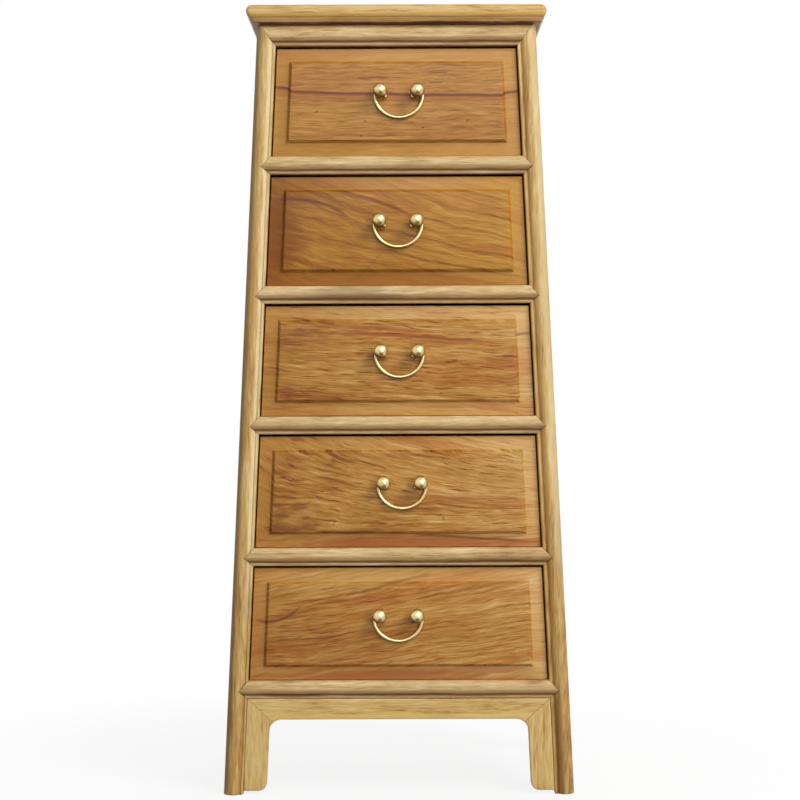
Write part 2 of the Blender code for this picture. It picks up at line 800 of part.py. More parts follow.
def build_carcass(woods):
    posts = {name: build_post(name) for names in POSTS_OF_FACE.values() for name in names[:1]}
    front, others = rail_specs()
    rails = {}
    for rail in front + others:
        rails[rail.name] = build_rail(rail)
        cut_rail_seats(rail, posts)
    panels = []
    for face in ("left", "right", "back"):
        name = "back_panel" if face == "back" else f"side_panel_{face}"
        panels.append(panel_block(face, name))
        seats = [posts[post] for post in POSTS_OF_FACE[face]]
        seats += [rails[rail.name] for rail in others if rail.face == face]
        for seat in seats:
            cut(seat, panel_block(face, grow=JOINT_GAP))
    shelves = []
    for index in range(1, DRAWERS + 1):
        shelves.append(build_shelf(index))
        cut(rails[front[index].name], shelf_tongue(index, grow=JOINT_GAP))
        for name in POSTS_OF_FACE["back"]:
            cut(posts[name], shelf_board(index, grow=JOINT_GAP))
    aprons = build_front_apron()
    aprons += [build_apron(f"side_apron_{side}", side) for side in ("left", "right")]
    groups = (
        (posts.values(), woods["post"]),
        (rails.values(), woods["rail"]),
        (aprons, woods["apron"]),
        (panels, woods["panel"]),
        (shelves, woods["shelf"]),
    )
    for pieces, wood in groups:
        for piece in pieces:
            finish(lean(piece), wood)
    top = build_top()
    cut_top_mortises(top)
    finish(top, woods["top"])


def main():
    for old in list(bpy.data.objects):
        bpy.data.objects.remove(old)
    woods = {
        "top": new_material("top wood", (0.51, 0.34, 0.13), 0.45),
        "post": new_material("post wood", (0.55, 0.37, 0.14), 0.45),
        "rail": new_material("rail wood", (0.57, 0.39, 0.15), 0.45),
        "apron": new_material("apron wood", (0.58, 0.39, 0.14), 0.48),
        "panel": new_material("panel wood", (0.50, 0.30, 0.11), 0.50),
        "shelf": new_material("shelf wood", (0.45, 0.29, 0.13), 0.60),
        "front": new_material("drawer front wood", (0.47, 0.23, 0.065), 0.40),
        "box": new_material("drawer box wood", (0.48, 0.31, 0.14), 0.60),
        "bottom": new_material("drawer bottom wood", (0.46, 0.30, 0.14), 0.60),
    }
    brass = new_material("brass", (0.73, 0.60, 0.30), 0.25, 1.0)
    build_carcass(woods)
    for index in range(DRAWERS):
        build_drawer(index, woods, brass)


main()
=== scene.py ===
"""Looks of the tapered five-drawer chest: finer mouldings and pulls, wood and brass, studio and camera."""

import json
import math
from collections import namedtuple

import bmesh
import bpy
from mathutils import Matrix, Vector


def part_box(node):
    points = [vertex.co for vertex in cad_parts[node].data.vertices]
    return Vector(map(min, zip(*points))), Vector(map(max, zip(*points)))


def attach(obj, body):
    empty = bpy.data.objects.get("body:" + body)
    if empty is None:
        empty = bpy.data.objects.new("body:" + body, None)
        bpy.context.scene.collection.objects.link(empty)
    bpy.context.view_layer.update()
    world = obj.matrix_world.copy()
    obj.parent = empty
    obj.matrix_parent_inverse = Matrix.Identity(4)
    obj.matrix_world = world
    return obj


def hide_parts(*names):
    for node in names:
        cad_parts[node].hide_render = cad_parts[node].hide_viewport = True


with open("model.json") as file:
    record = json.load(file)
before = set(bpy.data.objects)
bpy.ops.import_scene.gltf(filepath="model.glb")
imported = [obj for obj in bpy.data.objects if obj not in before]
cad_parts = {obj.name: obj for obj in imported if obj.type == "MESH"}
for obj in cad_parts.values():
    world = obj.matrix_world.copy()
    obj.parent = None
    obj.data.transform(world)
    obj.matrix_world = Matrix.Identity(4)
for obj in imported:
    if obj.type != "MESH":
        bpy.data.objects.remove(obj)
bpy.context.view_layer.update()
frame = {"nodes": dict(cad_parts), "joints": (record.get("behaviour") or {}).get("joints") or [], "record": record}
NODES = frame["nodes"]
BODY_OF = {node: body for body, nodes in frame["record"]["behaviour"]["bodies"].items() for node in nodes}
PIVOTS = {joint["child"]: Vector(joint["pos_m"]) for joint in frame["joints"] if joint["type"] == "hinge"}

# Sizes in metres. Bead, groove, apron edge, ball, wire tail and the bevel of a drawer front are up to 3 mm
# off the plain solids, so that they catch the light as they do in the photograph
HALF_WIDTH = 0.2665
HALF_DEPTH = 0.200
SIDE_SPLAY = 0.0455
FRONT_SPLAY = 0.026
JOINT_GAP = 0.0003
TOP_EDGE = 0.020
TOP_STRIP = 0.0065
TOP_NECK = 0.0022
TOP_CORNER = 0.006
STRIP_SETBACK = 0.005
STRIP_SLOPE = 0.003
NECK_SETBACK = 0.019
EDGE_ROUND = 0.008
POST = 0.030
POST_ROUND = 0.015
STUB = 0.012
STUB_HEIGHT = 0.004
STUB_INSET = 0.013
BEAD = 0.0046
BEAD_RISE = 0.0017
GROOVE = 0.0014
GROOVE_DEPTH = 0.0059
SHOULDER_DROP = 0.0056
SHOULDER_TURN = 60
RAIL_CREST = 0.0165
RAIL_UPPER_DROP = 0.0058
RAIL_DEPTH = 0.030
LAP_DEPTH = 0.0095
LAP_WALL = 0.0008
TIP_REACH = 0.0137
TIP_LIFT = 0.011
MITRE_REACH = 0.0255
TENON_SETBACK = 0.0112
TENON_THICKNESS = 0.0092
TENON_REACH = 0.008
TENON_SHOULDER = 0.0065
FRAME_RAIL_DEPTH = 0.024
APRON = 0.031
BRACKET = 0.035
APRON_BACK = 0.016
APRON_EDGE_DROP = 0.0050
APRON_CREST_DROP = 0.0038
APRON_ROLL = 0.0035
APRON_FILLET = 0.018
BRACKET_ROUND = 0.012
BRACKET_CLEARANCE = 0.006
PANEL_SETBACK = 0.011
PANEL_THICKNESS = 0.008
PANEL_REACH = 0.005
SHELF_THICKNESS = 0.010
SHELF_HOUSING = 0.004
TONGUE = 0.005
TONGUE_SHOULDER = 0.0025
TONGUE_END = 0.010
DRAWERS = 5
SIDE_GAP = 0.002
FIELD_SETBACK = 0.0025
EDGE_SETBACK = 0.0130
FOOT_INSET = 0.0200
FOOT_DEPTH = 0.0091
BROW_INSET = 0.0250
FRONT_THICKNESS = 0.022
BOARD = 0.010
BOX_DROP = 0.012
BOTTOM_THICKNESS = 0.006
BOTTOM_LIFT = 0.005
BOTTOM_REACH = 0.004
TAILS = 3
TAIL_REACH = 0.010
TAIL_NECK = 0.018
TAIL_FLARE = 0.003
BALL_RADIUS = 0.0113
BALL_SPACING = 0.0565
BALL_STANDOFF = 0.0185
NECK_RADIUS = 0.0046
COLLAR_RADIUS = 0.0064
COLLAR_THICKNESS = 0.0014
SHANK_RADIUS = 0.0024
RIVET_RADIUS = 0.005
RIVET_THICKNESS = 0.0016
RIVET_FACE = 0.0035
PIN_STANDOFF = 0.00505
WIRE_RADIUS = 0.0025
PIN_RADIUS = 0.0021
PIN_CLEARANCE = 0.0004
LEG_CLEARANCE = 0.0010
WIRE_BEND = 0.0031
BAIL_LEG = 0.006
BAIL_DROP = 0.0395
TAIL_DROP = 0.0080

# How far cutters run on past what they cut
PAST = 0.004
FAR = 0.020
LAP_OVERLAP = 0.002

# Softened edges that only the looks have
FOOT_EASE = 0.0008
EDGE_EASE = 0.0010
FIELD_EASE = 0.0008
COLLAR_EASE = 0.0005

# Facets on round stretches, turns of the rings that dome a wire's end, degrees up to which facets are smooth
ARC_STEPS = 10
CORNER_STEPS = 12
FILLET_STEPS = 14
ROLL_STEPS = 8
ROUND_STEPS = 8
BEND_STEPS = 6
BALL_SIDES = 40
BALL_STEPS = 20
BORE_SIDES = 24
BOW_STEPS = 64
WIRE_SIDES = 18
DOME_TURNS = (0.0, 0.5, 1.0, 1.35)
WOOD_SMOOTHING = 32
BRASS_SMOOTHING = 40

# Read from the frame, or worked out from the sizes above
BODY_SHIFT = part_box("post_front_left")[0].y + HALF_DEPTH
TOP_RAIL_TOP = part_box("front_rail_top")[1].z
FRONT_BACK = FIELD_SETBACK + FRONT_THICKNESS
TENON_BACK = TENON_SETBACK + TENON_THICKNESS
PANEL_BACK = PANEL_SETBACK + PANEL_THICKNESS
PIN_BEHIND_BALL = BALL_STANDOFF - PIN_STANDOFF
LEG_OFFSET = NECK_RADIUS + LEG_CLEARANCE + WIRE_RADIUS

Rail = namedtuple("Rail", "name face low high joint")
Face = namedtuple("Face", "angle half_length half_out posts")

FACES = {
    "front": Face(0.0, HALF_WIDTH, HALF_DEPTH, ("post_front_left", "post_front_right")),
    "right": Face(math.pi / 2, HALF_DEPTH, HALF_WIDTH, ("post_front_right", "post_back_right")),
    "back": Face(math.pi, HALF_WIDTH, HALF_DEPTH, ("post_back_right", "post_back_left")),
    "left": Face(-math.pi / 2, HALF_DEPTH, HALF_WIDTH, ("post_back_left", "post_front_left")),
}


# Mesh building blocks


def add_object(name, data):
    made = bpy.data.objects.new(name, data)
    bpy.context.scene.collection.objects.link(made)
    return made


def new_object(name, bm):
    bmesh.ops.recalc_face_normals(bm, faces=bm.faces)
    mesh = bpy.data.meshes.new(name)
    bm.to_mesh(mesh)
    bm.free()
    return add_object(name, mesh)


def loft(rings):
    """A closed solid through rings of points; a ring of one point closes an end as a pole."""
    bm = bmesh.new()
    loops = [[bm.verts.new(point) for point in ring] for ring in rings]
    for near, far in zip(loops, loops[1:]):
        count = max(len(near), len(far))
        for i in range(count):
            corners = [near[i % len(near)], near[(i + 1) % len(near)]]
            corners += [far[(i + 1) % len(far)], far[i % len(far)]]
            bm.faces.new(dict.fromkeys(corners))
    for end in (loops[0], loops[-1]):
        if len(end) > 2:
            bm.faces.new(end)
    return new_object("piece", bm)


def prism(outline, plane, low, high):
    """An outline in the plane of two axes, run from low to high along the third axis."""
    first, second = ("xyz".index(letter) for letter in plane)
    third = 3 - first - second
    rings = []
    for along in (low, high):
        ring = []
        for a, b in outline:
            point = [0.0, 0.0, 0.0]
            point[first], point[second], point[third] = a, b, along
            ring.append(point)
        rings.append(ring)
    return loft(rings)


def block(low, high, grow=0.0):
    x0, y0, z0 = (value - grow for value in low)
    x1, y1, z1 = (value + grow for value in high)
    return prism([(x0, y0), (x1, y0), (x1, y1), (x0, y1)], "xy", z0, z1)


def arc(centre, radii, start, end, steps):
    """Points on a stretch of an ellipse, from one angle to another, in degrees."""
    points = []
    for i in range(steps + 1):
        angle = math.radians(start + (end - start) * i / steps)
        points.append((centre[0] + radii[0] * math.cos(angle), centre[1] + radii[1] * math.sin(angle)))
    return points


def turned(profile, sides):
    """A solid of revolution about the Y axis, from (radius, y) points; a radius of 0 is a pole."""
    rings = []
    for radius, y in profile:
        if radius == 0:
            rings.append([(0.0, y, 0.0)])
            continue
        turns = [2 * math.pi * i / sides for i in range(sides)]
        rings.append([(radius * math.cos(t), y, radius * math.sin(t)) for t in turns])
    return loft(rings)


def combine(target, tool, operation):
    modifier = target.modifiers.new(operation, "BOOLEAN")
    modifier.operation = operation
    modifier.object = tool
    evaluated = target.evaluated_get(bpy.context.evaluated_depsgraph_get())
    old = target.data
    target.data = bpy.data.meshes.new_from_object(evaluated)
    target.modifiers.clear()
    bpy.data.meshes.remove(old)
    bpy.data.objects.remove(tool)


def cut(target, tool):
    combine(target, tool, "DIFFERENCE")


def join(target, tool):
    combine(target, tool, "UNION")


def keep_common(target, tool):
    combine(target, tool, "INTERSECT")


def to_face(piece, face):
    """Turns a piece from (along, behind the crest plane, up) onto a side of the upright chest."""
    side = FACES[face]
    piece.data.transform(Matrix.Rotation(side.angle, 4, "Z") @ Matrix.Translation((0, -side.half_out, 0)))
    return piece


def lean(piece):
    """Leans an upright piece to the splay and moves it back to its place over the origin."""
    for vertex in piece.data.vertices:
        x, y, z = vertex.co
        vertex.co.x = x - math.copysign(SIDE_SPLAY * z, x)
        vertex.co.y = y - math.copysign(FRONT_SPLAY * z, y) + BODY_SHIFT
    return piece


def stand_for(piece, node, angle=WOOD_SMOOTHING):
    """Puts a finer piece in the place of a CAD node."""
    piece.name = f"{node}_fine"
    piece.data.name = piece.name
    piece.data.shade_smooth()
    piece.data.set_sharp_from_angle(angle=math.radians(angle))
    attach(piece, BODY_OF[node])
    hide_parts(node)
    return piece


# Posts and rails


def moulded_edge(crest):
    """(Distance from the inner edge, depth) from the crest over the shoulder and groove to the bead."""
    reach = crest - BEAD - GROOVE
    turn = math.radians(SHOULDER_TURN)
    radii = (reach / math.sin(turn), SHOULDER_DROP / (1 - math.cos(turn)))
    points = arc((crest, radii[1]), radii, 270, 270 - SHOULDER_TURN, ARC_STEPS)
    points.append((BEAD + GROOVE / 2, GROOVE_DEPTH))
    points += arc((BEAD / 2, GROOVE_DEPTH), (BEAD / 2, -BEAD_RISE), 0, 180, ARC_STEPS)
    return points


def post_section(bead_on_end):
    """Points (in from the side, in from the end); the end face is plain on the back posts."""
    crest = POST - POST_ROUND
    edge = moulded_edge(crest)
    points = [(POST, POST)]
    points += [(depth, POST - across) for across, depth in reversed(edge)]
    points += arc((POST_ROUND, POST_ROUND), (POST_ROUND, POST_ROUND), 180, 270, CORNER_STEPS)[1:-1]
    if bead_on_end:
        points += [(POST - across, depth) for across, depth in edge]
    else:
        points += [(POST_ROUND, 0.0), (POST, 0.0)]
    return points


def stub(sign_x, sign_y, low, grow=0.0):
    """The square stub on a post, or the space that it needs in the top board."""
    x0, x1 = sorted(sign_x * (HALF_WIDTH - inset) for inset in (STUB_INSET, STUB_INSET + STUB))
    y0, y1 = sorted(sign_y * (HALF_DEPTH - inset) for inset in (STUB_INSET, STUB_INSET + STUB))
    return block((x0, y0, low), (x1, y1, TOP_RAIL_TOP + JOINT_GAP + STUB_HEIGHT), grow=grow)


def build_post(name):
    """A moulded post with an eased foot and a stub on top."""
    _, end, side = name.split("_")
    sign_x = 1 if side == "right" else -1
    sign_y = 1 if end == "back" else -1
    section = post_section(end == "front")
    shrink = 1 - 2 * FOOT_EASE / POST
    eased = [(POST / 2 + (a - POST / 2) * shrink, POST / 2 + (b - POST / 2) * shrink) for a, b in section]
    rings = []
    for points, z in ((eased, 0.0), (section, FOOT_EASE), (section, TOP_RAIL_TOP)):
        rings.append([(sign_x * (HALF_WIDTH - a), sign_y * (HALF_DEPTH - b), z) for a, b in points])
    post = loft(rings)
    join(post, stub(sign_x, sign_y, TOP_RAIL_TOP - PAST))
    return post


def rail_of(name):
    """A rail's side of the chest, place and joint; only the moulded top rails are mitred."""
    words = name.split("_")
    face = words[-1] if words[0] == "side" else words[0]
    joint = "mitred" if "top" in words else "pointed"
    low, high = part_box(name)
    return Rail(name, face, low.z, high.z, "plain" if face == "back" else joint)


def rail_profile(rail):
    """(Depth behind the crest plane, height) round a rail's section."""
    low, high = rail.low, rail.high
    crest = POST - POST_ROUND if rail.joint == "mitred" else RAIL_CREST
    points = [(depth, low + across) for across, depth in reversed(moulded_edge(crest))]
    roll = (RAIL_UPPER_DROP, high - low - crest)
    points += arc((RAIL_UPPER_DROP, low + crest), roll, 180, 90, ARC_STEPS)[1:]
    back = RAIL_DEPTH if rail.face == "front" else FRAME_RAIL_DEPTH
    return points + [(back, high), (back, low)]


def lap_end(rail, inner, grow):
    """(Along, height) of the lap on a post, upwards, run on past the rail's edges."""
    low, high = rail.low, rail.high
    if rail.joint == "pointed":
        lower_run = TIP_REACH / TIP_LIFT
        upper_run = TIP_REACH / (high - low - TIP_LIFT)
        edge = inner + grow * math.hypot(1, max(lower_run, upper_run))
        tip = (edge + TIP_REACH, low + TIP_LIFT)
        return [(edge - FAR * lower_run, low - FAR), tip, (edge - FAR * upper_run, high + FAR)]
    reach = MITRE_REACH if rail.face == "front" else POST - LAP_DEPTH - LAP_WALL
    run = reach / (high - low)
    edge = inner + grow * math.hypot(1, run)
    return [(edge - FAR * run, low - FAR), (edge + reach + FAR * run, high + FAR)]


def tenon(rail, end, inner, grow):
    low, high = rail.low + TENON_SHOULDER, rail.high - TENON_SHOULDER
    near, far = sorted((end * (inner - FAR), end * (inner + TENON_REACH + grow)))
    return block((near, TENON_SETBACK - grow, low - grow), (far, TENON_BACK + grow, high + grow))


def build_rail(rail):
    """A moulded bar trimmed to its shoulders, with laps over the posts in front and tenons behind."""
    inner = FACES[rail.face].half_length - POST
    low, high = rail.low - FAR, rail.high + FAR
    span = inner - JOINT_GAP
    envelope = block((-span, LAP_DEPTH - LAP_OVERLAP, low), (span, RAIL_DEPTH + PAST, high))
    right = lap_end(rail, inner, 0.0)
    left = [(-along, height) for along, height in reversed(right)]
    join(envelope, prism(right + left, "xz", -PAST, LAP_DEPTH))
    for end in (-1, 1):
        join(envelope, tenon(rail, end, inner, 0.0))
    bar = prism(rail_profile(rail), "yz", -inner - POST, inner + POST)
    keep_common(bar, envelope)
    return to_face(bar, rail.face)


def cut_rail_seats(rail, posts):
    """Notches and mortises for one rail in the two posts that carry it."""
    inner = FACES[rail.face].half_length - POST
    for end, name in zip((-1, 1), FACES[rail.face].posts):
        cut(posts[name], to_face(tenon(rail, end, inner, JOINT_GAP), rail.face))
        if rail.joint == "plain":
            continue
        notch = lap_end(rail, inner, JOINT_GAP)
        if rail.joint == "mitred":
            notch += [(inner - FAR, notch[-1][1]), (inner - FAR, notch[0][1])]
        notch = [(end * along, height) for along, height in notch]
        cut(posts[name], to_face(prism(notch, "xz", -FAR, LAP_DEPTH + JOINT_GAP), rail.face))


def panel_groove(face, front):
    """Space of a side or back panel in the posts and rails round it."""
    across = FACES[face].half_length - POST + PANEL_REACH
    low = front[-1].high - PANEL_REACH
    high = front[0].low + PANEL_REACH
    return to_face(block((-across, PANEL_SETBACK, low), (across, PANEL_BACK, high), grow=JOINT_GAP), face)


def shelf_housing(rail):
    across = HALF_WIDTH - POST + SHELF_HOUSING
    front = RAIL_DEPTH + JOINT_GAP - HALF_DEPTH
    back = HALF_DEPTH - FRAME_RAIL_DEPTH - JOINT_GAP
    return block((-across, front, rail.high - SHELF_THICKNESS), (across, back, rail.high), grow=JOINT_GAP)


def shelf_groove(rail):
    across = HALF_WIDTH - POST - TONGUE_END
    front = RAIL_DEPTH - TONGUE - HALF_DEPTH
    low = rail.high - SHELF_THICKNESS + TONGUE_SHOULDER
    high = rail.high - TONGUE_SHOULDER
    return block((-across, front, low), (across, front + TONGUE + PAST, high), grow=JOINT_GAP)


def build_frame():
    """Posts, moulded rails and the joints cut in them."""
    posts = {side.posts[0]: build_post(side.posts[0]) for side in FACES.values()}
    front = [rail_of(f"front_rail_{place}") for place in ("top", *range(1, DRAWERS), "bottom")]
    ends = ("top", "bottom")
    others = [rail_of(f"side_rail_{end}_{side}") for side in ("left", "right") for end in ends]
    others += [rail_of(f"back_rail_{end}") for end in ends]
    rails = {}
    for rail in front + others:
        if rail.joint != "plain":
            rails[rail.name] = build_rail(rail)
        cut_rail_seats(rail, posts)
    for face in ("left", "right", "back"):
        seats = [posts[post] for post in FACES[face].posts]
        seats += [rails[rail.name] for rail in others if rail.face == face and rail.name in rails]
        for seat in seats:
            cut(seat, panel_groove(face, front))
    for rail in front[1:]:
        cut(rails[rail.name], shelf_groove(rail))
        for name in FACES["back"].posts:
            cut(posts[name], shelf_housing(rail))
    return {**posts, **rails}


# Apron and brackets


def apron_outline(half_length, inset, top):
    """The right half of the apron with its bracket, from the outer end of the top edge to the inside."""
    outer = half_length - POST - JOINT_GAP - inset
    inner = half_length - POST - JOINT_GAP - BRACKET + inset
    under = top - APRON + inset
    foot = BRACKET_CLEARANCE + inset
    toe = BRACKET_ROUND - inset
    hollow = APRON_FILLET + inset
    points = [(outer, top - inset), (outer, foot)]
    points += arc((inner + toe, foot + toe), (toe, toe), 270, 180, FILLET_STEPS)
    points += arc((inner - hollow, under - hollow), (hollow, hollow), 0, 90, FILLET_STEPS)
    return points


def build_apron(face, top):
    """Apron and both brackets in one, with a face that swells from its edges to a flat crest."""
    half_length = FACES[face].half_length
    swell = APRON_EDGE_DROP - APRON_CREST_DROP
    roll = arc((APRON_ROLL, APRON_EDGE_DROP), (APRON_ROLL, swell), 180, 270, ROLL_STEPS)
    rings = []
    for inset, depth in [(0.0, APRON_BACK)] + roll:
        right = apron_outline(half_length, inset, top)
        ring = right + [(-along, height) for along, height in reversed(right)]
        rings.append([(along, depth, height) for along, height in ring])
    return to_face(loft(rings), face)


def mitre_wedge(end, grow, top):
    """The space outside the mitre between the front apron and one bracket."""
    outer = HALF_WIDTH - POST - JOINT_GAP
    run = Vector((-BRACKET, -APRON)).normalized()
    corner = Vector((outer, top)) - run * FAR + Vector((-1.0, 1.0)).normalized() * grow
    far = corner + run * (FAR * 3 + math.hypot(BRACKET, APRON))
    points = [corner, far, (far.x, -FAR), (outer + FAR, -FAR), (outer + FAR, corner.y)]
    outline = [(end * along, height) for along, height in points]
    return to_face(prism(outline, "xz", -FAR, APRON_BACK + FAR), "front")


def build_aprons():
    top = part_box("front_rail_bottom")[0].z - JOINT_GAP
    made = {"apron_front": build_apron("front", top)}
    for end, side in ((-1, "left"), (1, "right")):
        name = f"apron_bracket_front_{side}"
        made[name] = build_apron("front", top)
        keep_common(made[name], mitre_wedge(end, 0.0, top))
        cut(made["apron_front"], mitre_wedge(end, JOINT_GAP, top))
        made[f"side_apron_{side}"] = build_apron(side, top)
    return made


# Top board


def rounded_rectangle(half_x, half_y, radius):
    points = []
    for turn, (x, y) in enumerate(((1, 1), (-1, 1), (-1, -1), (1, -1))):
        centre = (x * (half_x - radius), y * (half_y - radius))
        points += arc(centre, (radius, radius), 90 * turn, 90 * turn + 90, ROUND_STEPS)
    return points


def build_top():
    low_corner, high_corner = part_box("top_board")
    low = low_corner.z
    strip_low = low + TOP_NECK
    edge_low = strip_low + TOP_STRIP
    half_edge = TOP_EDGE / 2
    profile = [(NECK_SETBACK, low), (NECK_SETBACK, strip_low), (STRIP_SETBACK + STRIP_SLOPE, strip_low)]
    profile.append((STRIP_SETBACK, edge_low))
    profile += arc((EDGE_ROUND, edge_low + half_edge), (EDGE_ROUND, half_edge), 270, 90, 2 * ARC_STEPS)
    half_x = (high_corner.x - low_corner.x) / 2
    half_y = (high_corner.y - low_corner.y) / 2
    rings = []
    for setback, height in profile:
        outline = rounded_rectangle(half_x - setback, half_y - setback, TOP_CORNER)
        rings.append([(x, y + BODY_SHIFT, height) for x, y in outline])
    top = loft(rings)
    for sign_x in (-1, 1):
        for sign_y in (-1, 1):
            cut(top, lean(stub(sign_x, sign_y, TOP_RAIL_TOP, JOINT_GAP)))
    return top


# Drawer fronts


def tail_socket(low, high, index):
    """(Depth, height) of the space for one dovetail of a drawer side, run on past the back of the front."""
    pitch = (high - low) / TAILS
    middle = low + pitch * (index + 0.5)
    neck = TAIL_NECK / 2 + JOINT_GAP
    wide = neck + TAIL_FLARE
    narrow = neck - TAIL_FLARE / TAIL_REACH * PAST
    near, far = FRONT_BACK - TAIL_REACH - JOINT_GAP, FRONT_BACK + PAST
    return [(far, middle - narrow), (near, middle - wide), (near, middle + wide), (far, middle + narrow)]


def build_drawer_front(number):
    """A board with a wide bevel all round and a raised field, its arrises eased by hand."""
    low_corner, high_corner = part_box(f"drawer_{number}_front")
    low, high = low_corner.z, high_corner.z
    half = HALF_WIDTH - POST - SIDE_GAP
    steps = [(0.0, FRONT_BACK)]
    steps += arc((EDGE_EASE, EDGE_SETBACK + EDGE_EASE), (EDGE_EASE, EDGE_EASE), 180, 260, BEND_STEPS)
    steps += [(EDGE_EASE, EDGE_SETBACK), (FOOT_INSET, FOOT_DEPTH)]
    brow = (BROW_INSET, FIELD_SETBACK + FIELD_EASE)
    steps += arc(brow, (FIELD_EASE, FIELD_EASE), 225, 270, BEND_STEPS)
    rings = []
    for inset, depth in steps:
        x, z0, z1 = half - inset, low + inset, high - inset
        y = depth - HALF_DEPTH
        rings.append([(-x, y, z0), (x, y, z0), (x, y, z1), (-x, y, z1)])
    front = loft(rings)
    for end in (-1, 1):
        xs = sorted((end * (half - BOARD - JOINT_GAP), end * (half + PAST)))
        for index in range(TAILS):
            socket = tail_socket(low, high - BOX_DROP, index)
            outline = [(depth - HALF_DEPTH, height) for depth, height in socket]
            cut(front, prism(outline, "yz", *xs))
    across = half - BOARD + BOTTOM_REACH
    groove_low = low + BOTTOM_LIFT
    groove = FRONT_BACK - HALF_DEPTH - BOTTOM_REACH
    high_side = (across, groove + FAR, groove_low + BOTTOM_THICKNESS)
    cut(front, block((-across, groove, groove_low), high_side, grow=JOINT_GAP))
    lean(front)
    pivot = PIVOTS[f"drawer_{number}_bail"]
    radius = SHANK_RADIUS + JOINT_GAP
    for end in (-1, 1):
        centre = (pivot.x + end * BALL_SPACING / 2, pivot.z)
        circle = arc(centre, (radius, radius), 0, 360, BORE_SIDES)[:-1]
        cut(front, prism(circle, "xz", pivot.y, pivot.y + PIN_STANDOFF + FRONT_THICKNESS + FAR))
    return front


# Pulls


def build_pull_post(number, end):
    """A ball on a collared neck that is bored across for the bail's pin."""
    back = math.degrees(math.asin(NECK_RADIUS / BALL_RADIUS))
    ball = arc((0.0, 0.0), (BALL_RADIUS, BALL_RADIUS), -90, 90 - back, BALL_STEPS)
    profile = [(0.0, -BALL_RADIUS)] + ball[1:]
    seat = BALL_STANDOFF - JOINT_GAP - FRONT_SPLAY * COLLAR_RADIUS
    rivet = BALL_STANDOFF + FRONT_THICKNESS + JOINT_GAP + FRONT_SPLAY * RIVET_RADIUS
    profile += [(NECK_RADIUS, seat - COLLAR_THICKNESS)]
    rim = (COLLAR_RADIUS - COLLAR_EASE, seat - COLLAR_THICKNESS + COLLAR_EASE)
    profile += arc(rim, (COLLAR_EASE, COLLAR_EASE), 270, 360, BEND_STEPS)
    profile += [(COLLAR_RADIUS, seat), (SHANK_RADIUS, seat), (SHANK_RADIUS, rivet), (RIVET_RADIUS, rivet)]
    profile += [(RIVET_FACE, rivet + RIVET_THICKNESS), (0.0, rivet + RIVET_THICKNESS)]
    post = turned(profile, BALL_SIDES)
    radius = PIN_RADIUS + PIN_CLEARANCE
    circle = arc((PIN_BEHIND_BALL, 0.0), (radius, radius), 0, 360, BORE_SIDES)[:-1]
    cut(post, prism(circle, "yz", -NECK_RADIUS - PAST, NECK_RADIUS + PAST))
    pivot = PIVOTS[f"drawer_{number}_bail"]
    post.data.transform(Matrix.Translation(pivot + Vector((end * BALL_SPACING / 2, -PIN_BEHIND_BALL, 0.0))))
    return post


def bail_path():
    """(Across, up, radius) of the right half of the wire, from the middle of the bow to its domed tail."""
    neck = BALL_SPACING / 2
    half = neck + LEG_OFFSET
    points = []
    for across, up in arc((0.0, -BAIL_LEG), (half, BAIL_DROP - BAIL_LEG), 270, 360, BOW_STEPS // 2):
        points.append((across, up, WIRE_RADIUS))
    outer = arc((half - WIRE_BEND, -WIRE_BEND), (WIRE_BEND, WIRE_BEND), 0, 90, BEND_STEPS)
    taper = [WIRE_RADIUS + (PIN_RADIUS - WIRE_RADIUS) * i / BEND_STEPS for i in range(BEND_STEPS + 1)]
    points += [(*point, radius) for point, radius in zip(outer, taper)]
    centre = neck - LEG_OFFSET + WIRE_BEND
    inner = arc((centre, -WIRE_BEND), (WIRE_BEND, WIRE_BEND), 90, 180, BEND_STEPS)
    points += [(*point, PIN_RADIUS) for point in inner]
    for turn in DOME_TURNS:
        end = -TAIL_DROP - PIN_RADIUS * math.sin(turn)
        points.append((neck - LEG_OFFSET, end, PIN_RADIUS * math.cos(turn)))
    return points


def build_bail(number):
    """The bail's wire as a swept round with domed ends, in its place on the drawer."""
    right = bail_path()
    path = [(-across, up, radius) for across, up, radius in right[:0:-1]] + right
    rings = []
    for before, (across, up, radius), after in zip(path[:1] + path, path, path[1:] + path[-1:]):
        along = Vector((after[0] - before[0], 0.0, after[1] - before[1])).normalized()
        sideways = Vector((-along.z, 0.0, along.x))
        ring = []
        for i in range(WIRE_SIDES):
            turn = 2 * math.pi * i / WIRE_SIDES
            reach = sideways * math.cos(turn) + Vector((0.0, 1.0, 0.0)) * math.sin(turn)
            ring.append(Vector((across, 0.0, up)) + reach * radius)
        rings.append(ring)
    bail = loft(rings)
    bail.data.transform(Matrix.Translation(PIVOTS[f"drawer_{number}_bail"]))
    return bail


# Materials


def srgb(*values):
    """Linear colour from sRGB values of 0 to 255."""
    linear = []
    for value in values:
        share = value / 255
        linear.append(share / 12.92 if share <= 0.04045 else ((share + 0.055) / 1.055) ** 2.4)
    return (*linear, 1.0)


# Waves per metre on three axes, detail, and how far a noise swings the tone, of itself and with the contrast
Noise = namedtuple("Noise", "scales detail rough swing contrast", defaults=(2.0, 0.5, 0.0, 0.0))


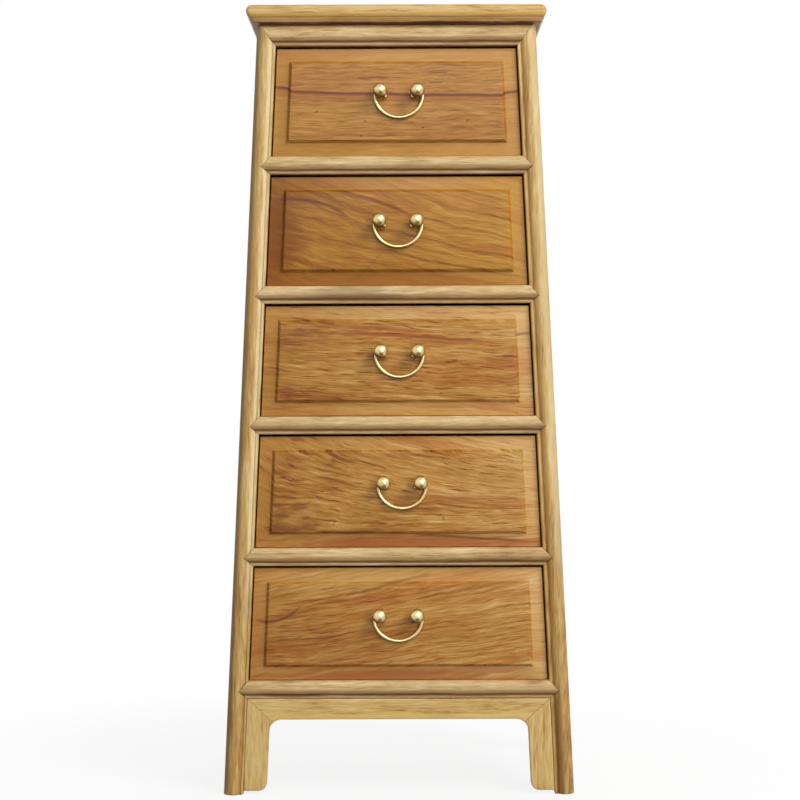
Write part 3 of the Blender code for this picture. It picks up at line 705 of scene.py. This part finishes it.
class Shader:
    """The node tree of a material or world, with short calls for the nodes that they share."""

    def __init__(self, owner):
        owner.use_nodes = True
        self.owner = owner
        self.tree = owner.node_tree
        self.principled = self.tree.nodes.get("Principled BSDF")

    def feed(self, socket, value):
        if isinstance(value, bpy.types.NodeSocket):
            self.tree.links.new(value, socket)
        else:
            socket.default_value = value

    def put(self, name, value):
        self.feed(self.principled.inputs[name], value)

    def node(self, kind, inputs=(), **settings):
        """A new node, its inputs given in order or by name."""
        made = self.tree.nodes.new("ShaderNode" + kind)
        for key, value in settings.items():
            setattr(made, key, value)
        for key, value in inputs.items() if isinstance(inputs, dict) else enumerate(inputs):
            self.feed(made.inputs[key], value)
        return made

    def place(self):
        """The surface point in the piece's own coordinates."""
        return self.node("TexCoord").outputs["Object"]

    def normal(self):
        return self.node("NewGeometry").outputs["Normal"]

    def split(self, vector):
        return self.node("SeparateXYZ", [vector]).outputs

    def math(self, operation, *values):
        return self.node("Math", values, operation=operation).outputs[0]

    def times(self, first, second):
        return self.math("MULTIPLY", first, second)

    def minus(self, first, second):
        return self.math("SUBTRACT", first, second)

    def total(self, *values):
        result = values[0]
        for value in values[1:]:
            result = self.math("ADD", result, value)
        return result

    def length(self, first, second):
        return self.math("SQRT", self.total(self.times(first, first), self.times(second, second)))

    def weigh(self, values, weights):
        return self.total(*(self.times(value, weight) for value, weight in zip(values, weights)))

    def vector_math(self, operation, *values):
        return self.node("VectorMath", values, operation=operation).outputs

    def towards(self, normal, direction):
        """How far a surface faces a direction."""
        return self.vector_math("DOT_PRODUCT", normal, direction)["Value"]

    def swing(self, value, amount):
        """A noise's departure from its mean of a half, times amount."""
        return self.times(self.minus(value, 0.5), amount)

    def noise(self, place, kind, seed=0.0):
        scaled = [self.times(value, scale) for value, scale in zip(place, kind.scales)]
        vector = self.node("CombineXYZ", scaled).outputs[0]
        inputs = {"Vector": vector, "W": seed, "Scale": 1.0, "Detail": kind.detail, "Roughness": kind.rough}
        return self.node("TexNoise", inputs, noise_dimensions="4D").outputs[0]

    def ramp(self, value, stops):
        made = self.node("ValToRGB", {"Fac": value})
        elements = made.color_ramp.elements
        while len(elements) < len(stops):
            elements.new(0.5)
        for element, (position, colour) in zip(elements, stops):
            element.position = position
            element.color = colour
        return made.outputs[0]

    def step(self, value, low, high, start=0.0, end=1.0):
        inputs = {"Value": value, "From Min": low, "From Max": high, "To Min": start, "To Max": end}
        return self.node("MapRange", inputs, interpolation_type="SMOOTHSTEP").outputs[0]

    def mix(self, factor, first, second, blend="MIX"):
        inputs = {0: factor, 6: first, 7: second}
        return self.node("Mix", inputs, data_type="RGBA", blend_type=blend).outputs[2]

    def mix_shaders(self, *values):
        return self.node("MixShader", values).outputs[0]

    def openness(self, reach):
        """1 in the open, less in corners narrower than the reach."""
        return self.node("AmbientOcclusion", {"Distance": reach}, samples=8).outputs["AO"]


# A board's growth rings, its dark lines along the grain, and its stains and knots, all in metres from
# the middle of its face: along the grain, across it, and into the board
Figure = namedtuple("Figure", "seed rings pith depth tilt slope twist warp lines dashes lift contrast level")
Streak = namedtuple(
    "Streak", "across slope start end width strength colour bend curl tilt", defaults=(0.0, 0.0, 0.0)
)
Stain = namedtuple("Stain", "along across run rise turn strength colour")
# Roughness, reach and strength of the painted shade and dark wax in corners, redness of the redder
# fibres, and how much paler a drawer front is off its field, a painted sheen on the bevel
Finish = namedtuple("Finish", "rough wax_reach wax blush bevel", defaults=(0.34, 0.007, 0.75, 0.25, 0.0))

# Noises along the grain, from ring to ring or across, and through the board
WAVER = Noise((2.6, 9.0, 9.0))
RIPPLE = Noise((17.0, 13.0, 13.0))
RIPPLE_SHARE = 0.36
BANDS = Noise((3.5, 34.0, 9.0), 3.0, contrast=0.5)
FIBRES = Noise((19.0, 250.0, 24.0), 4.0, 0.65, swing=0.6, contrast=0.65)
FLECKS = Noise((52.0, 640.0, 60.0), swing=0.4, contrast=0.3)
CLOUDS = Noise((6.0, 16.0, 16.0), contrast=0.5)
SCRATCHES = Noise((16.0, 900.0, 900.0), swing=0.3)
DASHES = Noise((30.0, 430.0, 60.0))
DASH_EDGE = (0.57, 0.72)
PORES = Noise((55.0, 1300.0, 1300.0), 1.0)
PORE_EDGE = (0.66, 0.78)
PORE_DARKNESS = 0.12
DRIFT = Noise((4.0, 60.0, 9.0), 3.0)
RED_EDGE = (0.48, 0.68)
RED_FIBRE = srgb(236, 178, 124)
TAN_STEP = (0.28, 0.5, 0.35, 0.0)
WOBBLE = Noise((14.0, 3.0, 3.0), 3.0)

# Late wood: how dark it is through a ring, and its least and added strength from year to year
LATE_STOPS = ((0.0, 0.0), (0.5, 0.16), (0.84, 1.0), (1.0, 0.0))
LATE_YEARS = (0.2, 0.9)

# Edges of streaks and stains
MARK_EDGE = (0.3, 1.0)
STREAK_WAVER = 0.006
STREAK_LEAST = 0.3
STREAK_FADE = 0.2
STAIN_FRAY = 1.1

# Places of the four tones, and depths below the field over which a part of the figure fades to the
# bevel's even, paler tone: a painted sheen
TONE_PLACES = (0.16, 0.42, 0.62, 0.86)
BEVEL_SHEEN_STEP = (0.0045, 0.0064, 0.0, 0.55)

# Painted shade and dark wax in corners, worn arrises, roughness and relief of scratches, bands, late wood, pores
SHADE_AND_WAX = srgb(104, 60, 18)
SHADE_AND_WAX_EDGE = (0.25, 0.8)
ARRIS_STEP = (0.8, 0.99, 0.35, 0.0)
ARRIS_OPEN = (0.5, 0.9)
SCRATCH_BAND_PORE_ROUGH = (0.1, 0.1, 0.2)
SCRATCH_LATE_PORE_HEIGHT = (0.35, -0.25, -0.6)


def wood_axes(s, grain, middle):
    """(Along the grain, across it, into the board) of the surface point, from the board's middle."""
    x, y, z = s.split(s.vector_math("SUBTRACT", s.place(), middle)[0])
    return {"x": (x, z, y), "z": (z, x, y), "y": (y, z, x), "v": (z, y, x)}[grain]


def ring_distance(s, axes, figure):
    """Distance from a pith that leans through the board, with a slow waver."""
    along, across, into = axes
    waver = s.noise(axes, WAVER, figure.seed)
    ripple = s.noise(axes, RIPPLE, figure.seed)
    off = s.minus(across, figure.pith)
    leaning = s.total(figure.slope, s.times(across, figure.twist))
    off = s.minus(off, s.times(along, leaning))
    deep = s.total(s.times(along, figure.tilt), into, figure.depth)
    ripples = s.swing(ripple, figure.warp * RIPPLE_SHARE)
    return s.total(s.length(off, deep), s.swing(waver, figure.warp), ripples)


def late_wood(s, radius, figure):
    """Dark late wood of each ring, none at its start and end, stronger in some years than in others."""
    count = s.times(radius, figure.rings)
    inputs = {"W": s.math("FLOOR", count)}
    year = s.node("TexWhiteNoise", inputs, noise_dimensions="1D").outputs[0]
    tones = [(place, (tone, tone, tone, 1.0)) for place, tone in LATE_STOPS]
    late = s.ramp(s.math("FRACT", count), tones)
    least, spread = LATE_YEARS
    return s.times(late, s.total(least, s.times(year, spread)))


def lay_streak(s, colour, axes, wobble, fibre, streak):
    along, across, into = axes
    squared = s.times(along, along)
    line = s.total(
        streak.across,
        s.times(along, streak.slope),
        s.times(squared, streak.bend),
        s.times(s.times(squared, along), streak.curl),
        s.times(into, streak.tilt),
        s.swing(wobble, STREAK_WAVER),
    )
    gap = s.math("ABSOLUTE", s.minus(across, line))
    width = s.times(s.total(fibre, STREAK_LEAST), streak.width)
    mark = s.step(s.math("DIVIDE", gap, width), *MARK_EDGE, 1.0, 0.0)
    fade = (streak.end - streak.start) * STREAK_FADE
    mark = s.times(mark, s.step(along, streak.start, streak.start + fade))
    mark = s.times(mark, s.step(along, streak.end - fade, streak.end, 1.0, 0.0))
    return s.mix(s.times(mark, streak.strength), colour, streak.colour)


def lay_stain(s, colour, axes, fibre, stain):
    along = s.minus(axes[0], stain.along)
    across = s.minus(s.minus(axes[1], stain.across), s.times(along, stain.turn))
    spread = s.length(s.times(along, 1 / stain.run), s.times(across, 1 / stain.rise))
    spread = s.total(spread, s.swing(fibre, STAIN_FRAY))
    return s.mix(s.step(spread, *MARK_EDGE, stain.strength, 0.0), colour, stain.colour)


def wood(name, grain, middle, tones, figure, marks=(), finish=Finish()):
    """Wood whose rings, fibres, pores and marks run through the whole board, under a thin waxed finish.

    tones: deep, mid, light and pale colours.
    """
    s = Shader(bpy.data.materials.new(name))
    axes = wood_axes(s, grain, middle)
    along, across, into = axes
    seed = figure.seed
    radius = ring_distance(s, axes, figure)
    late = late_wood(s, radius, figure)

    # Fibres follow the rings; clouds, pores and fine scratches of the plane don't
    bands, drift = (s.noise((along, radius, into), kind, seed) for kind in (BANDS, DRIFT))
    fibre, fleck, dash = (s.noise((along, radius, across), kind, seed) for kind in (FIBRES, FLECKS, DASHES))
    flat_kinds = (CLOUDS, SCRATCHES, PORES, WOBBLE)
    cloud, scratch, pore, wobble = (s.noise(axes, kind, seed) for kind in flat_kinds)
    dash = s.step(dash, *DASH_EDGE)
    pore = s.step(pore, *PORE_EDGE)

    value = s.total(figure.level, s.times(along, figure.lift), s.times(late, -figure.lines))
    swings = ((bands, BANDS), (fibre, FIBRES), (fleck, FLECKS), (cloud, CLOUDS), (scratch, SCRATCHES))
    for noise, kind in swings:
        value = s.total(value, s.swing(noise, kind.swing + kind.contrast * figure.contrast))
    value = s.total(value, s.times(dash, -figure.dashes), s.times(pore, -PORE_DARKNESS))
    # Off the field the figure calms to an even, paler tone: a painted sheen on the bevel
    if finish.bevel:
        depth = s.minus(into, s.times(across, FRONT_SPLAY))
        sheen_mask = s.step(depth, *BEVEL_SHEEN_STEP)
        even = s.total(figure.level + finish.bevel, s.times(along, figure.lift))
        value = s.total(value, s.times(sheen_mask, s.minus(even, value)))
    colour = s.ramp(value, list(zip(TONE_PLACES, tones)))
    _, _, light_tone, pale_tone = tones

    # Some of the fibres are redder, others tan
    red = s.step(drift, *RED_EDGE, 0.0, finish.blush * figure.contrast)
    colour = s.mix(red, colour, RED_FIBRE, "MULTIPLY")
    colour = s.mix(s.step(drift, *TAN_STEP), colour, light_tone)

    for mark in marks:
        if isinstance(mark, Streak):
            colour = lay_streak(s, colour, axes, wobble, fibre, mark)
        else:
            colour = lay_stain(s, colour, axes, fibre, mark)

    # Finish: painted shade and dark wax in the corners, worn and paler on the arrises
    corner = s.openness(finish.wax_reach)
    # Where corners close in, the colour darkens: painted shade in corners and recesses, with the wax
    colour = s.mix(s.step(corner, *SHADE_AND_WAX_EDGE, finish.wax, 0.0), colour, SHADE_AND_WAX, "MULTIPLY")
    rounded = s.node("Bevel", {"Radius": 0.0012}, samples=4).outputs[0]
    arris = s.step(s.towards(rounded, s.normal()), *ARRIS_STEP)
    arris = s.times(arris, s.step(corner, *ARRIS_OPEN))
    s.put("Base Color", s.mix(arris, colour, pale_tone))

    rough = s.weigh((scratch, bands, pore), SCRATCH_BAND_PORE_ROUGH)
    s.put("Roughness", s.total(finish.rough, rough))
    height = s.weigh((scratch, late, pore), SCRATCH_LATE_PORE_HEIGHT)
    inputs = {"Height": height, "Strength": 0.35, "Distance": 0.0003, "Normal": rounded}
    s.put("Normal", s.node("Bump", inputs).outputs[0])
    s.put("Specular IOR Level", 0.3)
    return s.owner


# Brass: its tones, its tarnish in the corners, its painted shade and dark reflection on the undersides,
# and the roughness of its clouds, scratches and undersides
BRASS_TONES = [(0.3, srgb(204, 180, 118)), (0.7, srgb(228, 208, 158))]
BRASS_CLOUDS = Noise((160.0, 160.0, 160.0), 3.0)
BRASS_SCRATCHES = Noise((500.0, 2600.0, 2600.0))
BRASS_CORNER = 0.006
CORNER_STEP = (0.2, 0.85, 0.8, 0.0)
CORNER_TARNISH = srgb(104, 78, 30)
UNDERSIDE_SHADE_REFLECTION = srgb(94, 68, 18)
# Direction that an underside faces, how frayed its edge is, and the step of its darkening: painted shade on
# the faces turned down and a painted dark reflection on the lower front
SHADE_REFLECTION_FACINGS = (
    ((-0.35, 0.0, -0.94), 0.3, (0.25, 0.75, 0.0, 0.9)),
    ((0.05, -0.85, -0.52), 0.1, (0.9, 0.985, 0.0, 0.85)),
)
POLISH = 0.18
BRASS_ROUGH = (0.14, 0.08, 0.14)


def brass(name):
    """Pale polished brass with fine scratches, tarnished in the corners, with painted shade and a painted dark
    reflection on its undersides.
    """
    s = Shader(bpy.data.materials.new(name))
    place = s.split(s.place())
    cloud = s.noise(place, BRASS_CLOUDS)
    scratch = s.noise(place, BRASS_SCRATCHES)
    colour = s.ramp(cloud, BRASS_TONES)
    colour = s.mix(s.step(s.openness(BRASS_CORNER), *CORNER_STEP), colour, CORNER_TARNISH)
    painted_dark = []
    for direction, fray, step in SHADE_REFLECTION_FACINGS:
        facing = s.total(s.towards(s.normal(), direction), s.swing(cloud, fray))
        painted_dark.append(s.step(facing, *step))
    under = s.math("MAXIMUM", *painted_dark)
    # Undersides darkened: painted shade and a painted dark reflection
    s.put("Base Color", s.mix(under, colour, UNDERSIDE_SHADE_REFLECTION))
    s.put("Roughness", s.total(POLISH, s.weigh((cloud, scratch, under), BRASS_ROUGH)))
    inputs = {"Height": scratch, "Strength": 0.1, "Distance": 0.0001}
    s.put("Normal", s.node("Bump", inputs).outputs[0])
    s.put("Metallic", 1.0)
    return s.owner


# Woods, each with its deep, mid, light and pale tone, and the colours of marks
STRAW = (srgb(148, 108, 54), srgb(186, 148, 84), srgb(203, 168, 104), srgb(224, 198, 142))
PALE_STRAW = (srgb(152, 116, 68), srgb(197, 164, 110), srgb(213, 184, 133), srgb(233, 213, 170))
HONEY = (srgb(128, 72, 24), srgb(168, 115, 46), srgb(187, 138, 67), srgb(211, 171, 109))
AMBER = (srgb(122, 64, 12), srgb(160, 106, 30), srgb(182, 130, 46), srgb(202, 156, 80))
BUFF = (srgb(150, 108, 50), srgb(200, 164, 96), srgb(214, 182, 118), srgb(230, 204, 148))
CREAM = (srgb(150, 108, 50), srgb(202, 166, 102), srgb(217, 187, 131), srgb(232, 208, 162))
PANEL = (srgb(142, 96, 48), srgb(176, 128, 70), srgb(194, 150, 90), srgb(212, 174, 116))
RAW = (srgb(150, 116, 76), srgb(184, 150, 104), srgb(200, 168, 122), srgb(216, 188, 144))
DARK = srgb(98, 50, 18)
UMBER = srgb(118, 76, 34)
RUSSET = srgb(158, 88, 40)
ASH = srgb(132, 112, 84)
PAINTED_LIGHT_IVORY = srgb(222, 200, 150)
KNOT = srgb(96, 52, 14)


def plain_figure(seed, lift=0.0, contrast=1.0):
    """Straight grain from a pith well outside the board."""
    return Figure(seed, 110, 0.35, 0.12, 0.02, 0.0, 0.0, 0.010, 0.12, 0.0, lift, contrast, 0.53)


def knot(along, across):
    return Stain(along, across, run=0.00357, rise=0.0021, turn=0.35, strength=0.8, colour=KNOT)


def band(across, reach, width, strength, colour):
    """A straight streak along the whole of a board."""
    return Streak(across, 0.0, -reach, reach, width, strength, colour)


# Tones, roughness, paler bevel (a painted sheen) and figure of each drawer front, and its marks, the top drawer
# first
# A figure's lift makes every front but the top one lighter towards the right: painted light from the side the
# lamps are on
FRONTS = (
    (HONEY, 0.26, 0.19, Figure(0.9, 120, 0.30, 0.10, 0.03, 0.01, 0.0, 0.02, 0.12, 0.22, 0.0, 0.4, 0.47)),
    (AMBER, 0.18, 0.04, Figure(1.8, 60, -0.25, 0.09, 0.02, -0.26, -1.5, 0.04, 0.30, 0.0, 0.5, 0.5, 0.54)),
    (HONEY, 0.15, 0.22, Figure(2.7, 150, 0.28, 0.09, 0.02, -0.05, 0.0, 0.03, 0.16, 0.6, 0.65, 0.9, 0.55)),
    (HONEY, 0.15, 0.23, Figure(3.6, 150, 0.26, 0.09, 0.02, -0.13, -2.6, 0.03, 0.16, 0.66, 0.5, 1.1, 0.53)),
    (HONEY, 0.15, 0.20, Figure(4.5, 130, -0.28, 0.09, 0.02, 0.17, 0.3, 0.03, 0.24, 0.34, 0.35, 0.85, 0.60)),
)
FRONT_MARKS = (
    (
        Streak(0.0105, -0.0198, -0.26, 0.26, 0.0042, 1.0, srgb(88, 42, 16), bend=0.052, tilt=0.75),
        Streak(0.0060, -0.0198, -0.26, 0.26, 0.0105, 0.45, RUSSET, bend=0.052, tilt=0.75),
        Streak(0.044, 0.0, 0.044, 0.082, 0.0028, 0.6, DARK),
        Streak(0.0365, 0.0, -0.064, -0.008, 0.0028, 0.55, DARK),
        Streak(0.029, 0.0, 0.047, 0.072, 0.0026, 0.55, DARK),
        knot(-0.122, -0.015),
        knot(-0.048, -0.030),
        knot(0.040, -0.0395),
        knot(0.1085, -0.029),
        knot(-0.054, -0.052),
    ),
    (
        Stain(-0.225, 0.0, 0.13, 0.16, 0.0, 0.85, srgb(124, 64, 12)),
        Stain(0.24, 0.0, 0.05, 0.16, 0.0, 0.6, srgb(162, 108, 44)),
        Stain(-0.02, -0.080, 0.26, 0.03, 0.0, 0.6, srgb(146, 84, 26)),
        Streak(-0.0846, -2.19, -0.186, -0.066, 0.0050, 0.75, DARK, bend=-12.0, curl=-22.0),
        Streak(-0.008, 1.075, -0.066, -0.022, 0.0035, 0.35, UMBER),
        Streak(-0.062, -0.42, -0.10, 0.03, 0.004, 0.4, RUSSET),
        Streak(-0.040, -0.45, -0.03, 0.12, 0.004, 0.3, RUSSET),
    ),
    (
        Streak(0.0382, -0.055, -0.20, 0.165, 0.0042, 0.6, srgb(132, 72, 34), bend=-0.15, tilt=0.3),
        Streak(0.0280, 0.07, 0.176, 0.212, 0.0042, 0.7, UMBER),
        knot(0.066, -0.0495),
    ),
    (
        Streak(-0.012, 0.0, -0.03, 0.20, 0.013, 0.45, RUSSET),
        Streak(-0.0608, 0.0, -0.126, -0.023, 0.0034, 0.6, DARK),
        Stain(0.02, -0.078, 0.28, 0.018, 0.0, 0.8, srgb(156, 82, 32)),
        Streak(-0.0642, -0.056, 0.012, 0.215, 0.0038, 0.65, DARK),
        knot(-0.0966, -0.0456),
        knot(0.069, -0.0395),
    ),
    (
        Streak(0.3645, 3.6, -0.222, -0.142, 0.0042, 0.7, DARK, bend=9.0),
        Stain(-0.01, -0.082, 0.28, 0.018, 0.0, 0.7, srgb(148, 82, 32)),
        Stain(-0.235, 0.0, 0.05, 0.12, 0.0, 0.35, RUSSET),
        Streak(0.0640, 0.27, -0.075, 0.056, 0.0034, 0.5, UMBER),
        Streak(-0.0735, 0.028, -0.13, 0.225, 0.009, 0.5, RUSSET, bend=-0.05),
        Streak(0.036, 0.17, 0.05, 0.21, 0.006, 0.45, RUSSET),
        Streak(0.016, 0.17, 0.08, 0.21, 0.005, 0.4, RUSSET),
    ),
)
FRONT_FINISH = Finish(wax_reach=0.004, wax=0.15, blush=0.6)

# Grain, tones and finish of the frame by the first word of a piece's name, and looks of single pieces
FRAME_FINISH = Finish(wax_reach=0.006, wax=0.35)
FRAME = {
    "post": ("z", STRAW, Finish(wax_reach=0.006, wax=0.1)),
    "front": ("x", PALE_STRAW, FRAME_FINISH),
    "side": ("y", STRAW, FRAME_FINISH),
    "apron": ("x", BUFF, FRAME_FINISH),
    "top": ("x", CREAM, Finish(wax_reach=0.008, wax=0.2)),
}
FRAME_SEED = 1.7
FRAME_SEED_STEP = 0.61
LIFTS = {"post_front_right": 0.16}
BOARD_BAND = 1.0
RAIL_BAND = 0.4
SHOULDER_SHADE = 0.0030
FRAME_MARKS = {
    # Top board: a pale band on the lower, downward half of the rounded edge is painted light; the dark bands on
    # the strip and neck are painted shade under the overhang
    "top_board": (
        band(-0.0020, BOARD_BAND, 0.008, 0.5, srgb(238, 188, 96)),
        band(-0.0089, BOARD_BAND, 0.005, 0.45, srgb(140, 78, 14)),
        band(-0.0135, BOARD_BAND, 0.004, 0.95, srgb(104, 43, 0)),
    ),
    # Left post: dark brown on the outer side, turned from the lamps, grading to pale on the inner side, turned to
    # them: painted shade and painted light
    "post_front_left": (
        Streak(-0.0118, SIDE_SPLAY, -0.64, -0.25, 0.007, 0.6, srgb(124, 70, 22)),
        Streak(-0.006, SIDE_SPLAY, 0.05, 0.35, 0.008, 0.4, srgb(176, 122, 64)),
        Streak(0.0095, SIDE_SPLAY, -0.40, 0.70, 0.008, 0.8, srgb(232, 214, 168)),
        Streak(-0.0135, SIDE_SPLAY, -0.40, 0.70, 0.009, 0.55, srgb(134, 90, 38)),
    ),
    "post_front_right": (
        Streak(-0.005, -SIDE_SPLAY, -0.64, -0.41, 0.010, 0.65, srgb(118, 70, 20)),
        Streak(-0.006, -SIDE_SPLAY, -0.40, 0.10, 0.008, 0.4, srgb(178, 126, 64)),
        # Pale on the outer side, turned to the lamps: painted light
        Streak(0.0095, -SIDE_SPLAY, -0.35, 0.70, 0.011, 0.6, PAINTED_LIGHT_IVORY),
    ),
    # Front apron: a pale band on its lower part, which faces down, is painted light
    "apron_front": (band(-0.0095, BOARD_BAND, 0.012, 0.6, srgb(226, 190, 112)),),
    "front_rail_4": (Streak(-0.002, -0.03, 0.06, 0.20, 0.005, 0.6, srgb(124, 84, 48)),),
    "front_rail_2": (
        Stain(-0.07, 0.0, 0.10, 0.02, 0.0, 0.5, ASH),
        Streak(-0.004, 0.01, -0.17, 0.02, 0.006, 0.5, srgb(112, 92, 64)),
    ),
    "front_rail_bottom": (
        Streak(-0.008, 0.0, -0.215, -0.105, 0.0055, 0.8, srgb(92, 60, 26)),
        Streak(-0.009, 0.0, -0.10, 0.20, 0.0050, 0.4, UMBER),
    ),
}

# Pieces that keep the plain solids' shape: the inside, and name, grain, tones, seed and contrast of the rest
INSIDE_FINISH = Finish(rough=0.5)
INSIDE_SEED = 3.1
CALM = 0.55
PLAIN_PIECES = (
    ("side_panel_left", "v", PANEL, 5.3, CALM),
    ("side_panel_right", "v", PANEL, 6.3, CALM),
    ("back_panel", "z", PANEL, 7.3, CALM),
    ("back_rail_top", "x", STRAW, 8.1, 1.0),
    ("back_rail_bottom", "x", STRAW, 9.1, 1.0),
)


def rail_painted_shade(name):
    """Painted shade along a front rail's groove, on the shoulder above it and on the bead below it, where the
    round turns down over them.
    """
    low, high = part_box(name)
    groove = BEAD + GROOVE - (high.z - low.z) / 2
    return (
        band(groove + SHOULDER_SHADE, RAIL_BAND, 0.0075, 0.45, srgb(142, 98, 48)),
        band(groove, RAIL_BAND, 0.0036, 0.75, srgb(112, 70, 30)),
        band(groove - GROOVE - BEAD / 2, RAIL_BAND, 0.0045, 0.4, UMBER),
    )


def dress(piece, material):
    piece.data.materials.clear()
    piece.data.materials.append(material)


def middle_of(name):
    low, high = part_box(name)
    return (low + high) / 2


def dress_plain(node, grain, tones, seed, contrast, finish=Finish()):
    """Gives a plain solid its wood."""
    figure = plain_figure(seed, contrast=contrast)
    material = wood(node, grain, middle_of(node), tones, figure, finish=finish)
    for slot in NODES[node].material_slots:
        slot.material = material


def face_middle(name):
    """Middle of a drawer front's raised field."""
    middle = middle_of(name)
    return Vector((0.0, FRONT_SPLAY * middle.z - HALF_DEPTH + BODY_SHIFT + FIELD_SETBACK, middle.z))


def make_frame():
    """Posts, moulded rails, aprons and top board, each with its own figure."""
    pieces = {**build_frame(), **build_aprons()}
    for piece in pieces.values():
        lean(piece)
    pieces["top_board"] = build_top()
    for index, (name, piece) in enumerate(pieces.items()):
        stand_for(piece, name)
        kind = name.split("_")[0]
        grain, tones, finish = FRAME[kind]
        if name.startswith("apron_bracket"):
            grain = "z"
        figure = plain_figure(FRAME_SEED + FRAME_SEED_STEP * index, LIFTS.get(name, 0.0))
        marks = FRAME_MARKS.get(name, ())
        if kind == "front":
            marks += rail_painted_shade(name)
        dress(piece, wood(name, grain, middle_of(name), tones, figure, marks, finish))


def make_drawers():
    """Fronts, pulls, boxes and bottoms, and the shelves that the drawers run on."""
    metal = brass("brass")
    for number, ((tones, rough, bevel, figure), marks) in enumerate(zip(FRONTS, FRONT_MARKS), 1):
        node = f"drawer_{number}_front"
        front = stand_for(build_drawer_front(number), node)
        finish = FRONT_FINISH._replace(rough=rough, bevel=bevel)
        dress(front, wood(node, "x", face_middle(node), tones, figure, marks, finish))
        for end, side in ((-1, "left"), (1, "right")):
            node = f"drawer_{number}_pull_post_{side}"
            dress(stand_for(build_pull_post(number, end), node, BRASS_SMOOTHING), metal)
        node = f"drawer_{number}_pull_bail"
        dress(stand_for(build_bail(number), node, BRASS_SMOOTHING), metal)
        inner = {f"drawer_{number}_box": "y", f"drawer_{number}_bottom": "x", f"drawer_shelf_{number}": "x"}
        for index, (node, grain) in enumerate(inner.items()):
            dress_plain(node, grain, RAW, INSIDE_SEED * number + index, CALM, INSIDE_FINISH)


# Studio and camera

CAMERA_DISTANCE = 3.0
CAMERA_HEIGHT = 0.62
FRAME_WIDTH = 1.2157
FRAME_CENTRE = 0.598
FRAME_SHIFT = 0.0036
ROLL = 0.2
SENSOR = 36.0
LAMP_DISTANCE = 6.0
LAMP_AIM = Vector((0.0, -0.2, 0.65))
# Name, bearing to the right of the front and angle above the floor in degrees, width, height, watts
LAMPS = (
    ("key", 47.0, 38.0, 2.6, 2.6, 235.0),
    ("right", 26.0, 6.0, 1.0, 2.3, 84.0),
    ("upper", 0.0, 28.0, 1.6, 2.6, 72.0),
    ("left", -65.0, 20.0, 4.0, 4.0, 12.0),
    ("back", 170.0, 35.0, 4.0, 4.0, 160.0),
)
PAPER_LIT = (0.3, 0.3, 0.3, 1.0)
PAPER_SEEN = (0.9, 0.9, 0.9, 1.0)
# Distances from the middle over which the paper turns white, and how white it is there
SHADOW_STEP = (0.35, 1.1, 0.86, 1.0)


def build_camera():
    data = bpy.data.cameras.new("camera")
    data.sensor_width = SENSOR
    data.lens = SENSOR * CAMERA_DISTANCE / FRAME_WIDTH
    camera = add_object("camera", data)
    front = FRONT_SPLAY * FRAME_CENTRE - HALF_DEPTH + BODY_SHIFT
    camera.location = (FRAME_SHIFT, front - CAMERA_DISTANCE, CAMERA_HEIGHT)
    pitch = math.atan2(FRAME_CENTRE - CAMERA_HEIGHT, CAMERA_DISTANCE)
    turn = Matrix.Rotation(math.pi / 2 + pitch, 3, "X") @ Matrix.Rotation(-math.radians(ROLL), 3, "Z")
    camera.rotation_euler = turn.to_euler()
    bpy.context.scene.camera = camera


def build_lamp(name, bearing, angle, width, height, power):
    """A soft rectangular lamp that faces the chest."""
    data = bpy.data.lights.new(name, "AREA")
    data.shape = "RECTANGLE"
    data.size, data.size_y = width, height
    data.energy = power
    made = add_object(name, data)
    turn, rise = math.radians(bearing), math.radians(angle)
    towards = Vector((math.sin(turn) * math.cos(rise), -math.cos(turn) * math.cos(rise), math.sin(rise)))
    made.location = LAMP_AIM + towards * LAMP_DISTANCE
    made.rotation_euler = towards.to_track_quat("Z", "Y").to_euler()


def seen_directly(s):
    """1 for what the camera, metal or glass shows, 0 for what lights the object."""
    path = s.node("LightPath").outputs
    mirrored = s.math("MAXIMUM", path["Is Glossy Ray"], path["Is Transmission Ray"])
    return s.math("MAXIMUM", path["Is Camera Ray"], mirrored)


def build_world():
    """Low, even light from all round, shown as white."""
    world = bpy.data.worlds.new("studio")
    s = Shader(world)
    light = s.tree.nodes["Background"]
    s.feed(light.inputs["Color"], (1.0, 0.985, 0.96, 1.0))
    s.feed(light.inputs["Strength"], 0.11)
    shown = s.node("Background", {"Color": (1.0, 1.0, 1.0, 1.0), "Strength": 1.0})
    surface = s.mix_shaders(seen_directly(s), light.outputs[0], shown.outputs[0])
    s.feed(s.tree.nodes["World Output"].inputs["Surface"], surface)
    bpy.context.scene.world = world


def build_floor():
    """White paper that keeps a faint shadow round the feet."""
    bm = bmesh.new()
    bmesh.ops.create_circle(bm, cap_ends=True, radius=9.0, segments=96)
    floor = new_object("floor", bm)
    if floor.data.polygons[0].normal.z < 0:
        floor.data.flip_normals()
    s = Shader(bpy.data.materials.new("floor"))
    x, y, _ = s.split(s.place())
    seen = seen_directly(s)
    s.put("Base Color", s.mix(seen, PAPER_LIT, PAPER_SEEN))
    s.put("Roughness", 0.7)
    s.put("Specular IOR Level", 0.2)
    white = s.step(s.length(x, y), *SHADOW_STEP)
    glow = s.node("Emission").outputs[0]
    surface = s.mix_shaders(s.times(white, seen), s.principled.outputs[0], glow)
    s.feed(s.tree.nodes["Material Output"].inputs["Surface"], surface)
    dress(floor, s.owner)


make_frame()
make_drawers()
for plain in PLAIN_PIECES:
    dress_plain(*plain)
build_camera()
for lamp in LAMPS:
    build_lamp(*lamp)
build_world()
build_floor()
bpy.context.scene.view_settings.view_transform = "Standard"
